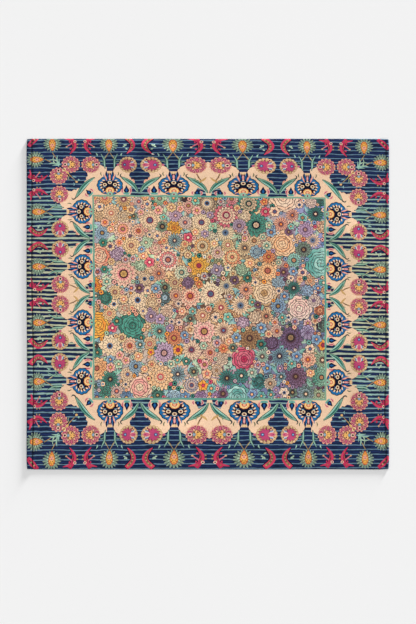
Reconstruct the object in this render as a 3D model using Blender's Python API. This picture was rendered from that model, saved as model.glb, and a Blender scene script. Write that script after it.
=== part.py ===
"""A printed fleece throw blanket, laid out flat, as one solid sheet of cloth.

The sheet lies in the XY plane with its underside on z = 0. +X runs along its long side and +Y
along its short side. Its left and right edges are turned over once and stitched down, which
gives two raised hems with a groove on their inner side. Soft low ridges lift it here and there.
All sizes are in metres.
"""

from collections import namedtuple
from math import cos, pi, radians, sin, sqrt

import bmesh
import bpy

NODE_NAME = "throw_cloth"

# The cloth
CLOTH_WIDTH = 1.520
CLOTH_DEPTH = 1.387
CLOTH_THICKNESS = 0.003
HALF_WIDTH = CLOTH_WIDTH / 2
HALF_DEPTH = CLOTH_DEPTH / 2

# The soft rim all round: the upper side curves down to a lower outer edge
RIM_WIDTH = 0.004
RIM_SHOULDER = 0.0015
RIM_SHARE = 0.45
SHOULDER_SHARE = 0.85
CORNER_RADIUS = 0.008

# The side hems, as wide as the turned edge of each
HEM_WIDTH = {"left": 0.021, "right": 0.015}
HEM_THICKNESS = 0.0055
GROOVE_THICKNESS = 0.0018
GROOVE_HALF_WIDTH = 0.004

# Stretches where a hem was folded wider
Bulge = namedtuple("Bulge", "side along half_length extra")
BULGES = (
    Bulge(side="left", along=-0.360, half_length=0.480, extra=0.006),
    Bulge(side="right", along=-0.440, half_length=0.170, extra=0.006),
)
BULGE_REACH = 0.030

# Spacing of the columns and rows that carry the ridges
COLUMN_PITCH = 0.038
ROW_PITCH = 0.038
FINE_ROW_PITCH = 0.011
FINE_ROWS = 5

# Soft ridges: the middle of each, the way it runs, and its size
Ridge = namedtuple("Ridge", "x y heading half_length half_width height")
RIDGES = (
    Ridge(x=-0.235, y=0.655, heading=-13, half_length=0.125, half_width=0.026, height=0.0060),
    Ridge(x=-0.330, y=0.610, heading=-28, half_length=0.170, half_width=0.055, height=0.0030),
    Ridge(x=-0.640, y=0.330, heading=82, half_length=0.260, half_width=0.075, height=0.0035),
    Ridge(x=-0.560, y=-0.250, heading=64, half_length=0.240, half_width=0.080, height=0.0030),
    Ridge(x=-0.160, y=-0.560, heading=12, half_length=0.300, half_width=0.080, height=0.0032),
    Ridge(x=0.330, y=-0.600, heading=-9, half_length=0.260, half_width=0.070, height=0.0028),
    Ridge(x=0.640, y=-0.310, heading=97, half_length=0.280, half_width=0.070, height=0.0034),
    Ridge(x=0.590, y=0.280, heading=118, half_length=0.250, half_width=0.085, height=0.0030),
    Ridge(x=0.250, y=0.560, heading=7, half_length=0.320, half_width=0.085, height=0.0030),
    Ridge(x=0.290, y=0.080, heading=38, half_length=0.260, half_width=0.090, height=0.0026),
    Ridge(x=-0.300, y=0.200, heading=-35, half_length=0.280, half_width=0.090, height=0.0026),
)

# Places where an edge draws in from the straight line
Dip = namedtuple("Dip", "side along half_length inset")
DIPS = (
    Dip(side="left", along=-0.260, half_length=0.330, inset=0.0018),
    Dip(side="left", along=0.420, half_length=0.200, inset=0.0008),
    Dip(side="right", along=0.020, half_length=0.300, inset=0.0015),
    Dip(side="top", along=0.080, half_length=0.260, inset=0.0007),
    Dip(side="bottom", along=0.480, half_length=0.220, inset=0.0012),
)
DIP_REACH = 0.060

# The finish
FLEECE_COLOUR = (0.055, 0.085, 0.150, 1.0)
FLEECE_ROUGHNESS = 0.92


def remove_objects():
    """Clears the scene that Blender starts with."""
    for thing in list(bpy.data.objects):
        bpy.data.objects.remove(thing, do_unlink=True)


def bump(distance):
    """A smooth bump: 1 at 0, and 0 from 1 outwards."""
    if abs(distance) >= 1:
        return 0.0
    return (1 - distance * distance) ** 2


def even_steps(start, end, pitch):
    """Evenly spaced places from start to end, both included, about pitch apart."""
    count = max(1, round((end - start) / pitch))
    return [start + (end - start) * step / count for step in range(count + 1)]


def rim_places():
    """Distances from an outer edge that shape its rim."""
    return [0.0, RIM_SHOULDER, RIM_WIDTH]


def hem_places(width):
    """Distances from a side edge that shape its rim, its hem and its groove."""
    return rim_places() + [
        width / 2,
        width - GROOVE_HALF_WIDTH,
        width,
        width + GROOVE_HALF_WIDTH,
    ]


def column_places():
    """The x of each column of points, from left to right."""
    left = [-HALF_WIDTH + place for place in hem_places(HEM_WIDTH["left"])]
    right = [HALF_WIDTH - place for place in reversed(hem_places(HEM_WIDTH["right"]))]
    return left + even_steps(left[-1], right[0], COLUMN_PITCH)[1:-1] + right


def row_places():
    """The y of each row of points, from bottom to top, closer together by the top crease."""
    bottom = [-HALF_DEPTH + place for place in rim_places()]
    top = [HALF_DEPTH - place for place in reversed(rim_places())]
    fine_start = top[0] - FINE_ROWS * FINE_ROW_PITCH
    middle = even_steps(bottom[-1], fine_start, ROW_PITCH)[1:]
    fine = even_steps(fine_start, top[0], FINE_ROW_PITCH)[1:-1]
    return bottom + middle + fine + top


def hem_shift(x, y):
    """How far a point moves inwards where the hem beside it was folded wider."""
    shift = 0.0
    for bulge in BULGES:
        inwards = 1 if bulge.side == "left" else -1
        from_edge = HALF_WIDTH + inwards * x
        from_groove = from_edge - HEM_WIDTH[bulge.side]
        reach = BULGE_REACH if from_groove > 0 else HEM_WIDTH[bulge.side]
        along = (y - bulge.along) / bulge.half_length
        shift += inwards * bulge.extra * bump(along) * bump(from_groove / reach)
    return shift


def edge_pull(x, y):
    """How far a point moves as the edges near it draw in, as (dx, dy)."""
    pull_x = pull_y = 0.0
    for dip in DIPS:
        if dip.side in ("left", "right"):
            along = (y - dip.along) / dip.half_length
            sign = 1 if dip.side == "left" else -1
            from_edge = HALF_WIDTH + sign * x
            pull_x += sign * dip.inset * bump(along) * bump(from_edge / DIP_REACH)
        else:
            along = (x - dip.along) / dip.half_length
            sign = 1 if dip.side == "bottom" else -1
            from_edge = HALF_DEPTH + sign * y
            pull_y += sign * dip.inset * bump(along) * bump(from_edge / DIP_REACH)
    return pull_x, pull_y


def rounded_corner(x, y):
    """The place of a point once the square corner near it is rounded."""
    over_x = max(0.0, abs(x) - (HALF_WIDTH - CORNER_RADIUS)) / CORNER_RADIUS
    over_y = max(0.0, abs(y) - (HALF_DEPTH - CORNER_RADIUS)) / CORNER_RADIUS
    if over_x == 0 or over_y == 0:
        return x, y
    round_x = over_x * sqrt(1 - over_y * over_y / 2)
    round_y = over_y * sqrt(1 - over_x * over_x / 2)
    side_x = 1 if x > 0 else -1
    side_y = 1 if y > 0 else -1
    return (
        x + side_x * (round_x - over_x) * CORNER_RADIUS,
        y + side_y * (round_y - over_y) * CORNER_RADIUS,
    )


def place_on_floor(x, y):
    """Where a point of the even grid lies once the cloth's edges are as uneven as they are."""
    pull_x, pull_y = edge_pull(x, y)
    corner_x, corner_y = rounded_corner(x, y)
    return corner_x + pull_x + hem_shift(x, y), corner_y + pull_y


def lift(x, y):
    """The height of the underside above the floor: 0 but for the soft ridges."""
    height = 0.0
    for ridge in RIDGES:
        along_x, along_y = cos(radians(ridge.heading)), sin(radians(ridge.heading))
        along = ((x - ridge.x) * along_x + (y - ridge.y) * along_y) / ridge.half_length
        across = ((y - ridge.y) * along_x - (x - ridge.x) * along_y) / ridge.half_width
        height += ridge.height * bump(along) * bump(across)
    return height


def hem_thickness(from_edge, width):
    """The cloth's thickness by a side edge: a doubled hem, a stitched groove, then one layer."""
    if from_edge <= width - GROOVE_HALF_WIDTH:
        return HEM_THICKNESS
    outer = HEM_THICKNESS if from_edge < width else CLOTH_THICKNESS
    share = min(1.0, abs(from_edge - width) / GROOVE_HALF_WIDTH)
    return GROOVE_THICKNESS + (outer - GROOVE_THICKNESS) * (1 - cos(pi * share)) / 2


def rim_share(from_edge):
    """The share of the full thickness that is left this near an outer edge."""
    if from_edge >= RIM_WIDTH:
        return 1.0
    if from_edge >= RIM_SHOULDER:
        share = (from_edge - RIM_SHOULDER) / (RIM_WIDTH - RIM_SHOULDER)
        return SHOULDER_SHARE + (1 - SHOULDER_SHARE) * share
    return RIM_SHARE + (SHOULDER_SHARE - RIM_SHARE) * from_edge / RIM_SHOULDER


def thickness(x, y):
    """The cloth's thickness at a point of the even grid."""
    full = (
        hem_thickness(HALF_WIDTH + x, HEM_WIDTH["left"])
        if x < 0
        else hem_thickness(HALF_WIDTH - x, HEM_WIDTH["right"])
    )
    nearest = min(HALF_WIDTH - abs(x), HALF_DEPTH - abs(y))
    return full * rim_share(nearest)


def make_sheet():
    """The sheet as a grid for its underside, extruded upwards to its own thickness."""
    shape = bmesh.new()
    columns = column_places()
    rows = row_places()
    grid = [[shape.verts.new((x, y, 0.0)) for x in columns] for y in rows]
    for lower, upper in zip(grid, grid[1:]):
        for first in range(len(columns) - 1):
            corners = (lower[first], upper[first], upper[first + 1], lower[first + 1])
            shape.faces.new(corners)
    underside = list(shape.verts)
    raised = bmesh.ops.extrude_face_region(shape, geom=list(shape.faces))["geom"]
    topside = [part for part in raised if isinstance(part, bmesh.types.BMVert)]
    for point in topside:
        point.co.z = thickness(point.co.x, point.co.y)
    for point in underside + topside:
        x, y = place_on_floor(point.co.x, point.co.y)
        point.co = (x, y, point.co.z + lift(x, y))
    bmesh.ops.recalc_face_normals(shape, faces=list(shape.faces))
    mesh = bpy.data.meshes.new(NODE_NAME)
    shape.to_mesh(mesh)
    shape.free()
    mesh.shade_smooth()
    mesh.set_sharp_from_angle(angle=radians(50))
    return mesh


def fleece_material():
    """Printed fleece, in the mean colour of its print."""
    material = bpy.data.materials.new("printed_fleece")
    material.use_nodes = True
    shader = material.node_tree.nodes["Principled BSDF"]
    shader.inputs["Base Color"].default_value = FLEECE_COLOUR
    shader.inputs["Roughness"].default_value = FLEECE_ROUGHNESS
    shader.inputs["Metallic"].default_value = 0.0
    return material


def main():
    """Builds the throw."""
    remove_objects()
    mesh = make_sheet()
    mesh.materials.append(fleece_material())
    throw = bpy.data.objects.new(NODE_NAME, mesh)
    bpy.context.scene.collection.objects.link(throw)


main()
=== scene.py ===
"""Dresses the printed fleece throw that lies flat on a pale floor.

The cloth is one closed sheet. Its upper side is cut into faces along every outline of its print,
and each face carries the dye of the shape it belongs to, so the print is as sharp as its drawing.
The print is drawn in millimetres round its own middle, then laid on the cloth.
"""

import logging
import math
import random
from dataclasses import dataclass, field, replace
from enum import Enum
from functools import partial
from typing import Any, Callable, NamedTuple, Sequence

import bpy
import numpy as np
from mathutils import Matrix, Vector
from mathutils.bvhtree import BVHTree
from mathutils.geometry import delaunay_2d_cdt


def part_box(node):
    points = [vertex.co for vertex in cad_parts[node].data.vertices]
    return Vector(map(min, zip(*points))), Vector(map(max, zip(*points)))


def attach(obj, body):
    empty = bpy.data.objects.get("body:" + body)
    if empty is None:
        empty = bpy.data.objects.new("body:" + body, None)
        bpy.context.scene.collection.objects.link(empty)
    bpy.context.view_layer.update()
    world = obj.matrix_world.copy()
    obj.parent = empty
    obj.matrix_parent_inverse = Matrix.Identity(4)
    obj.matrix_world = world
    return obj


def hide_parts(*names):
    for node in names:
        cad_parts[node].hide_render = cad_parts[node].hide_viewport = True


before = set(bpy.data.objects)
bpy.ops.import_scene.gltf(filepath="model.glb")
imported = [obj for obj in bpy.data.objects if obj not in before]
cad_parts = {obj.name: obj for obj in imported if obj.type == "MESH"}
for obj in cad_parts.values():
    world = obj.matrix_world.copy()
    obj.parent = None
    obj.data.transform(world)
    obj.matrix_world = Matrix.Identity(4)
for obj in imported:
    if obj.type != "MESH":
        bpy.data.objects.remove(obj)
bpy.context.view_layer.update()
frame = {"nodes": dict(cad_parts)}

NODE = "throw_cloth"
BODY = "root"
MM = 0.001
# The cloth's width in the photograph, in pixels
CLOTH_PIXELS = 362.3
# The mean of the meadow's cloudy colour, and the brightest value that a dye may reach
CLOUD_MEAN = 0.26
BRIGHTEST = 0.92

MATHS = "ShaderNodeMath"
MIX = "ShaderNodeMix"
NOISE = "ShaderNodeTexNoise"
RAMP = "ShaderNodeMapRange"

log = logging.getLogger("throw")

Outline = np.ndarray
Affine = np.ndarray

# The corners of a square, anticlockwise
SQUARE: Outline = np.array([(-1, -1), (1, -1), (1, 1), (-1, 1)])
# The mirror that swaps along and up
DIAGONAL: Affine = np.array([[0.0, 1.0, 0.0], [1.0, 0.0, 0.0], [0.0, 0.0, 1.0]])


def linear(hex_colour: str) -> tuple[float, float, float]:
    """Turns an sRGB hex colour into linear red, green and blue.

    Args:
        hex_colour: The colour as "#rrggbb".

    Returns:
        The three linear values, each from 0 to 1.
    """
    parts = [int(hex_colour[place : place + 2], 16) / 255 for place in (1, 3, 5)]
    return tuple(p / 12.92 if p <= 0.04045 else ((p + 0.055) / 1.055) ** 2.4 for p in parts)


class Dye(Enum):
    """The dyes of the print, by name, as sRGB hex values."""

    NAVY = "#16214a"
    INK = "#090f24"
    BLUE = "#1e6ba0"
    DEEP_BLUE = "#174f8c"
    SLATE = "#57789a"
    PALE_SLATE = "#a8c4d0"
    TEAL = "#56988a"
    DEEP_TEAL = "#23594f"
    PALE_TEAL = "#a6d2c0"
    SAGE = "#87a68c"
    DEEP_SAGE = "#3f5c52"
    PALE_SAGE = "#c2d6b8"
    OLIVE = "#85794a"
    TAN = "#b48f62"
    CREAM = "#ecc7a6"
    PALE_CREAM = "#ffe6c6"
    BUTTER = "#fbdcb2"
    GOLD = "#d9ab66"
    YELLOW = "#f0bb58"
    PEACH = "#efae7c"
    ORANGE = "#e58a3c"
    RUST = "#b9583a"
    SALMON = "#dd7d68"
    RED = "#cf3f5e"
    CRIMSON = "#b32d50"
    WINE = "#6d2440"
    MAGENTA = "#b5446c"
    PINK = "#d47c86"
    PALE_PINK = "#f6bdae"
    MAUVE = "#8e7290"
    LILAC = "#c8b0c4"
    BROWN = "#4c2f30"
    SHADE = "#342a30"


class Inking(NamedTuple):
    """Fine dark lines that run out from a shape's own middle.

    Attributes:
        count: How many lines there are.
        one_way: How far they swirl, for one family of them.
        other_way: The same for the second family, which crosses the first where the two differ.
        weight: How dark they are, from 0 to 1.
    """

    count: int = 0
    one_way: float = 0.0
    other_way: float = 0.0
    weight: float = 0.6


PLAIN = Inking()


@dataclass(frozen=True)
class Patch:
    """One flat shape of the print: its outline in millimetres, and its dyes.

    Attributes:
        outline: The corners, one row each.
        heart: The dye at the middle of the shape.
        rim: The dye at its far ends.
        striped: Whether the stripes of the navy ground show in it.
        inking: Its fine lines.
        wash: How much of the meadow's cloudy colour lies over it, from 0 to 1.
        core: The share of its reach, from its middle, that keeps the heart's dye.
        frame: The matrix from the place where it was drawn to where it lies.
    """

    outline: Outline
    heart: Dye
    rim: Dye
    striped: bool = False
    inking: Inking = PLAIN
    wash: float = 0.0
    core: float = 0.0
    frame: Affine = field(default_factory=lambda: np.eye(3))

    def look(self, number: int) -> tuple:
        """What tells it from its neighbours: its dye alone where it is plain, else its own number."""
        if self.striped or (self.heart is self.rim and not self.inking.count):
            return (self.heart, self.striped, self.wash)
        return (number,)


Motif = list[Patch]


def shifted(along: float, up: float) -> Affine:
    """The move by (along, up), as a matrix."""
    return np.array([[1.0, 0.0, along], [0.0, 1.0, up], [0.0, 0.0, 1.0]])


def turned(degrees: float) -> Affine:
    """The turn by an angle, anticlockwise, as a matrix."""
    c, s = math.cos(math.radians(degrees)), math.sin(math.radians(degrees))
    return np.array([[c, -s, 0.0], [s, c, 0.0], [0.0, 0.0, 1.0]])


def stretched(along: float, up: float) -> Affine:
    """The stretch by two factors, as a matrix. A negative factor mirrors."""
    return np.diag([along, up, 1.0])


def moved(outline: Outline, matrix: Affine) -> Outline:
    """An outline put through a matrix."""
    return outline @ matrix[:2, :2].T + matrix[:2, 2]


def placed(motif: Motif, matrix: Affine) -> Motif:
    """A motif put through a matrix, its patches in the same order."""
    return [replace(p, outline=moved(p.outline, matrix), frame=matrix @ p.frame) for p in motif]


def oval(half_width: float, half_height: float, at: Sequence[float] = (0, 0), corners: int = 12) -> Outline:
    """An oval with its middle at a point."""
    angle = np.arange(corners) * math.tau / corners
    return np.column_stack([at[0] + half_width * np.cos(angle), at[1] + half_height * np.sin(angle)])


def lobed(half_width: float, half_height: float, lobes: int, depth: float, points: int = 4) -> Outline:
    """A round shape with rounded lobes, like the outline of a scalloped disc.

    Args:
        half_width: Its reach along X.
        half_height: Its reach along Y.
        lobes: How many lobes it has.
        depth: The depth of the notches, as a share of its reach.
        points: Corners in each lobe.

    Returns:
        The outline.
    """
    angle = np.arange(lobes * points) * math.tau / (lobes * points)
    reach = 1 - depth * (1 - np.abs(np.sin(angle * lobes / 2)) ** 0.8)
    return np.column_stack([half_width * reach * np.cos(angle), half_height * reach * np.sin(angle)])


def spiked(outer: float, inner: float, spikes: int) -> Outline:
    """A star with straight spikes."""
    angle = np.arange(2 * spikes) * math.pi / spikes
    reach = np.where(np.arange(2 * spikes) % 2 == 0, outer, inner)
    return np.column_stack([reach * np.cos(angle), reach * np.sin(angle)])


def petal(length: float, width: float, fullest: float = 0.6, blunt: float = 0.5) -> Outline:
    """A petal or leaf that grows along +X from the origin.

    Args:
        length: From its foot to its tip.
        width: At its fullest place.
        fullest: Where it is fullest, as a share of its length.
        blunt: How round its tip is, from 0, a point, to 1.

    Returns:
        The outline.
    """
    far, tip = fullest + (1 - fullest) * 0.62, width * (0.28 + 0.24 * blunt)
    side = [(length * fullest, width * 0.5), (length * far, tip)]
    lower = [(along, -half) for along, half in side]
    return np.array([(0.0, 0.0), *lower, (length, 0.0), *side[::-1]])


def smoothed(points: Sequence[Sequence[float]], steps: int = 3) -> Outline:
    """More points on a smooth curve through a few, with the ends kept."""
    through = np.array(points, dtype=float)
    ends = np.vstack([2 * through[0] - through[1], through, 2 * through[-1] - through[-2]])
    share = (np.arange(steps) / steps)[:, None]
    spans = []
    for a, b, c, d in zip(ends, ends[1:], ends[2:], ends[3:]):
        bend = 2 * b + (c - a) * share + (2 * a - 5 * b + 4 * c - d) * share**2
        spans.append((bend + (3 * b - a - 3 * c + d) * share**3) / 2)
    return np.vstack([*spans, through[-1:]])


def stroke(route: Sequence[Sequence[float]], steps: int = 3) -> Outline:
    """A brush stroke: a ribbon along a smooth curve.

    Args:
        route: Rows of x, y and the stroke's width there.
        steps: Points on the curve for each row.

    Returns:
        The ribbon's outline.
    """
    line = smoothed(route, steps)
    ahead = np.gradient(line[:, :2], axis=0)
    ahead /= np.linalg.norm(ahead, axis=1)[:, None]
    across = np.column_stack([-ahead[:, 1], ahead[:, 0]]) * np.maximum(line[:, 2:], 0.4) / 2
    return np.vstack([line[:, :2] - across, (line[:, :2] + across)[::-1]])


def brush(route: Sequence[Sequence[float]], heart: Dye, rim: Dye, steps: int = 2, **look: Any) -> Patch:
    """A brush stroke in its two dyes."""
    return Patch(stroke(route, steps), heart, rim, **look)


def ring(patches: Motif, count: int, start: float = 0.0, sweep: float = 360.0) -> Motif:
    """Copies of a few patches turned round the origin.

    Args:
        patches: What is copied, drawn for the angle 0.
        count: How many copies.
        start: The angle of the first, in degrees.
        sweep: The angle that they share; 360 closes the ring.

    Returns:
        All the copies.
    """
    step = sweep / count if sweep >= 360 else sweep / max(1, count - 1)
    return [p for n in range(count) for p in placed(patches, turned(start + n * step))]


def both_sides(patches: Motif) -> Motif:
    """Patches and their mirror images across the line x = 0."""
    return patches + placed(patches, stretched(-1, 1))


class Border:
    """The motifs of the old-style border, each drawn round its own middle, in millimetres."""

    @staticmethod
    def star_rosette() -> Motif:
        """A wine-red rosette with an amber heart. Its seed lies towards +X."""
        scallop = [
            Patch(oval(3.3, 4.2, (31.8, 0), 7), Dye.BUTTER, Dye.SALMON),
            Patch(oval(2.0, 2.3, (30.5, 0), 4), Dye.WINE, Dye.OLIVE),
        ]
        flame = [
            Patch(petal(24, 15.0, 0.55, 0.8) + (8.5, 0), Dye.TAN, Dye.PALE_PINK),
            Patch(petal(22, 12.2, 0.55, 0.7) + (9.5, 0), Dye.WINE, Dye.MAGENTA),
            Patch(petal(15, 6.6, 0.55, 0.7) + (14, 0), Dye.MAGENTA, Dye.PINK),
        ]
        inner = [Patch(petal(9, 6, 0.5, 0.4) + (13.5, 0), Dye.PALE_PINK, Dye.GOLD)]
        amber = np.array([(-23, 0), (-9, -8), (-6, -14), (3, -17), (7, -10), (4, 0)], dtype=float)
        amber = np.vstack([amber, amber[-2:0:-1] * (1, -1)])
        return [
            Patch(lobed(36, 36, 14, 0.12, 2), Dye.WINE, Dye.MAGENTA),
            *ring(scallop, 14, 13),
            *ring(flame, 9, 20),
            Patch(lobed(17, 17, 9, 0.14, 2), Dye.WINE, Dye.OLIVE),
            *ring(inner, 4, 60, 240),
            Patch(amber * 1.04, Dye.WINE, Dye.WINE),
            Patch(amber * 0.92, Dye.YELLOW, Dye.PEACH, inking=Inking(5, 0, 0, 0.4)),
            Patch(oval(2.8, 3.0, (-3, 8.4), 6), Dye.OLIVE, Dye.BROWN),
            Patch(oval(2.8, 3.0, (-3, -8.4), 6), Dye.OLIVE, Dye.BROWN),
            Patch(oval(2.9, 2.7, (-13, 0), 6), Dye.BROWN, Dye.WINE),
            Patch(oval(2.8, 2.4, (-28, 0), 6), Dye.OLIVE, Dye.GOLD),
            Patch(moved(spiked(7.8, 3.6, 5), shifted(9, 0)), Dye.PALE_SLATE, Dye.SLATE),
            Patch(oval(8.6, 8.0, (21, 0), 9), Dye.WINE, Dye.MAGENTA),
            Patch(oval(7.2, 6.6, (21, 0), 10), Dye.PALE_CREAM, Dye.CREAM),
            Patch(oval(4.6, 4.2, (21.5, 0), 8), Dye.INK, Dye.BROWN),
        ]

    @staticmethod
    def gold_rosette() -> Motif:
        """A rosette with a gold scalloped rim. Its blue seed lies towards +X."""
        scallop = [Patch(oval(6.2, 6.2, (31.5, 0), 7), Dye.BUTTER, Dye.TAN)]
        tick = [Patch(petal(11, 4.2, 0.4, 0.4) + (22, 0), Dye.WINE, Dye.TAN)]
        flame_edge = [Patch(petal(29, 13.5, 0.5, 0.0), Dye.WINE, Dye.WINE)]
        flame = [Patch(petal(26, 11, 0.5, 0.0), Dye.MAGENTA, Dye.MAGENTA)]
        seed = [
            Patch(oval(6.4, 6.2, (0, 0), 8), Dye.PALE_CREAM, Dye.GOLD),
            Patch(oval(3.8, 4.2, (0, 0), 7), Dye.CRIMSON, Dye.WINE),
        ]
        stripe = [
            Patch(petal(23, 7.0, 0.6, 0.8), Dye.PALE_SLATE, Dye.PALE_PINK),
            Patch(petal(22, 4.4, 0.6, 0.6) + (0, -2.6), Dye.SLATE, Dye.DEEP_BLUE),
        ]
        halves = []
        for side in (1, -1):
            halves += placed(seed, shifted(-15, side * 25))
            halves += placed(stripe, stretched(1, side) @ shifted(-3, 8) @ turned(166))
        return [
            Patch(petal(13, 11, 0.4, 0) + (34, 0), Dye.PINK, Dye.MAGENTA),
            Patch(lobed(38, 36.5, 16, 0.06, 2), Dye.OLIVE, Dye.TAN),
            *ring(scallop, 16, 11),
            *ring(tick, 16, 0),
            Patch(lobed(27, 27, 16, 0.10, 2), Dye.GOLD, Dye.TAN),
            *ring([Patch(petal(20, 11, 0.6, 0.8) + (8, 0), Dye.SALMON, Dye.PALE_PINK)], 3, 148, 64),
            *halves,
            Patch(moved(petal(32, 14, 0.5, 0.7), turned(180)), Dye.MAGENTA, Dye.PINK),
            Patch(oval(2.0, 2.0, (-23, 0), 6), Dye.WINE, Dye.WINE),
            *placed(ring(flame_edge, 9, -122, 244), shifted(3, 0)),
            *placed(ring(flame, 9, -122, 244), shifted(4, 0)),
            Patch(oval(14, 15, (7, 0), 12), Dye.MAGENTA, Dye.MAGENTA),
            Patch(oval(7.8, 7.8, (13.5, 0), 10), Dye.MAUVE, Dye.WINE),
            Patch(oval(5.2, 5.2, (13.5, 0), 9), Dye.SLATE, Dye.DEEP_BLUE),
            Patch(oval(2.6, 2.6, (13.5, 0), 7), Dye.PALE_SLATE, Dye.PALE_SLATE),
        ]

    @staticmethod
    def palmette() -> Motif:
        """The large blue palmette. Its foot lies at -Y and its crown towards +Y."""
        dash = [
            Patch(moved(oval(half, slim, corners=corners), shifted(*at) @ turned(-34)), heart, rim)
            for half, slim, corners, at, heart, rim in (
                (7.2, 3.7, 7, (35, 0), Dye.ORANGE, Dye.WINE),
                (6.0, 2.8, 6, (35.4, 0.6), Dye.PALE_CREAM, Dye.BUTTER),
            )
        ]
        foot_dash = [
            Patch(petal(19, 7.0, 0.6, 0.8), Dye.INK, Dye.WINE),
            Patch(petal(17, 4.6, 0.6, 0.8) + (1, 0), Dye.SALMON, Dye.PALE_CREAM),
        ]
        eye = [
            Patch(oval(8.4, 7.4, corners=10), Dye.PALE_CREAM, Dye.BUTTER),
            Patch(oval(5.4, 4.8, corners=8), Dye.YELLOW, Dye.OLIVE),
            Patch(oval(3.7, 3.7, corners=7), Dye.INK, Dye.WINE),
        ]
        arch = lobed(17.5, 15.5, 9, 0.10, 3)
        foot = moved(lobed(15, 13, 7, 0.18, 3), shifted(0, -40))
        plume = [
            brush([(8, 22, 10), (11, 36, 11), (13, 52, 10), (13, 64, 2)], Dye.NAVY, Dye.INK),
            brush([(8, 30, 3), (9, 42, 5), (11, 58, 2)], Dye.BLUE, Dye.DEEP_BLUE),
            brush([(12, 22, 3), (16, 35, 6.5), (20, 48, 2)], Dye.PALE_PINK, Dye.SALMON),
            brush([(20, 30, 1), (24, 38, 4), (24, 50, 1)], Dye.SLATE, Dye.DEEP_BLUE),
        ]
        arc = [brush([(17, -9, 1), (24, -6, 3.4), (31, -12, 1)], Dye.PALE_SLATE, Dye.SLATE)]
        right_dashes = placed(ring(dash, 5, -42, 88), stretched(1.06, 0.88))
        right_feet = placed(foot_dash, shifted(13, -25) @ turned(-24))
        return [
            Patch(lobed(55, 44.5, 13, 0.05, 4), Dye.INK, Dye.INK),
            Patch(lobed(52, 41.5, 13, 0.06, 4), Dye.BLUE, Dye.BLUE, inking=Inking(13, 0, 0, 0.45)),
            Patch(oval(39.0, 30.0, (0, -4), 16), Dye.INK, Dye.INK),
            *both_sides([*right_dashes, *right_feet, *arc]),
            *placed(eye, shifted(0, 13)),
            *placed(eye, shifted(-21, 3)),
            *placed(eye, shifted(21, 3)),
            brush([(-20, 23, 1), (-10, 20, 3), (0, 22, 4), (10, 20, 3), (20, 23, 1)], Dye.SLATE, Dye.BLUE),
            Patch(moved(lobed(19, 17, 9, 0.06, 3), shifted(0, -24)), Dye.RUST, Dye.RUST),
            Patch(moved(arch, shifted(0, -24)), Dye.PALE_CREAM, Dye.YELLOW, inking=Inking(9, 0, 0, 0.45)),
            Patch(moved(lobed(10, 9, 7, 0.14, 2), shifted(0, -25)), Dye.SALMON, Dye.RUST),
            Patch(oval(5.4, 5, (0, -24), 8), Dye.PALE_PINK, Dye.PEACH),
            Patch(foot, Dye.PALE_SAGE, Dye.TEAL, inking=Inking(7, 0, 0, 0.6)),
            Patch(oval(4.0, 4.2, (0, -39), 7), Dye.PINK, Dye.WINE),
            *both_sides(plume),
            brush([(0, 22, 12), (0, 44, 14), (0, 62, 12)], Dye.INK, Dye.NAVY),
            brush([(0, 30, 6), (0, 41, 8), (0, 50, 5)], Dye.PALE_PINK, Dye.PINK),
            Patch(oval(3.8, 3.4, (0, 27), 7), Dye.PALE_PINK, Dye.PALE_CREAM),
            Patch(oval(7.0, 5.2, (0, 58), 9), Dye.PALE_CREAM, Dye.GOLD),
        ]

    @staticmethod
    def sunburst() -> Motif:
        """An amber bud in a ring of sage leaves. Its stalk end points to -Y."""
        back_leaf = [
            Patch(petal(31, 13.5, 0.5, 0.1) + (14, 0), Dye.INK, Dye.INK),
            Patch(petal(29, 10.4, 0.5, 0.1) + (15, 0), Dye.DEEP_SAGE, Dye.PALE_SAGE),
        ]
        front_leaf = [
            Patch(petal(20, 11.5, 0.5, 0.3) + (9, 0), Dye.INK, Dye.DEEP_SAGE),
            Patch(petal(18, 7.6, 0.5, 0.3) + (10, 0), Dye.SAGE, Dye.PALE_SAGE),
        ]
        bud = stroke([(0, -26, 3), (0, -16, 17), (0, -2, 27), (0, 12, 30), (0, 24, 22), (0, 30, 10)], 2)
        inside = stroke([(0, -23, 2), (0, -15, 13), (0, -2, 22), (0, 12, 25), (0, 23, 17), (0, 27, 8)], 2)
        dots = [(0, -14), (-5, -5), (5, -5), (0, 4), (-8, 6), (8, 6)]
        dots += [(-4, 13), (4, 13), (0, 22), (8, 18), (-8, 18)]
        return [
            *placed(ring(back_leaf, 17, -76, 332), shifted(0, 8) @ stretched(0.88, 0.86)),
            *placed(ring(front_leaf, 11, -62, 304), shifted(0, 6) @ stretched(0.90, 0.95)),
            Patch(bud, Dye.WINE, Dye.RUST),
            Patch(inside, Dye.YELLOW, Dye.ORANGE, inking=Inking(8, 0, 0, 0.4)),
            Patch(oval(9, 10, (0, 0), 9), Dye.PINK, Dye.PEACH),
            *[Patch(oval(1.9, 2.2, at, 5), Dye.WINE, Dye.BROWN) for at in dots],
        ]

    @staticmethod
    def tendrils() -> Motif:
        """The stalk's two arms and the curled leaves that frame the window, drawn for x from 0."""
        arm = [(0, 84, 3.4), (6, 74, 2.8), (13, 60, 3.0), (20, 50, 2.0)]
        leaf = [(18, 4, 3), (21, 24, 9), (21, 44, 9), (27, 60, 6), (35, 76, 1.5)]
        inside = [(19, 8, 1), (21, 26, 5), (21, 44, 5), (27, 59, 3), (34, 72, 1)]
        barb = [(24, 34, 5), (35, 40, 4), (44, 34, 1)]
        flick = [(22, 50, 4), (15, 60, 3), (13, 66, 1)]
        return [
            brush(barb, Dye.SAGE, Dye.DEEP_SAGE),
            brush(flick, Dye.SAGE, Dye.PALE_SAGE),
            brush(leaf, Dye.DEEP_TEAL, Dye.DEEP_SAGE),
            brush(inside, Dye.SAGE, Dye.PALE_TEAL),
            brush(arm, Dye.TAN, Dye.OLIVE),
        ]

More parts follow.
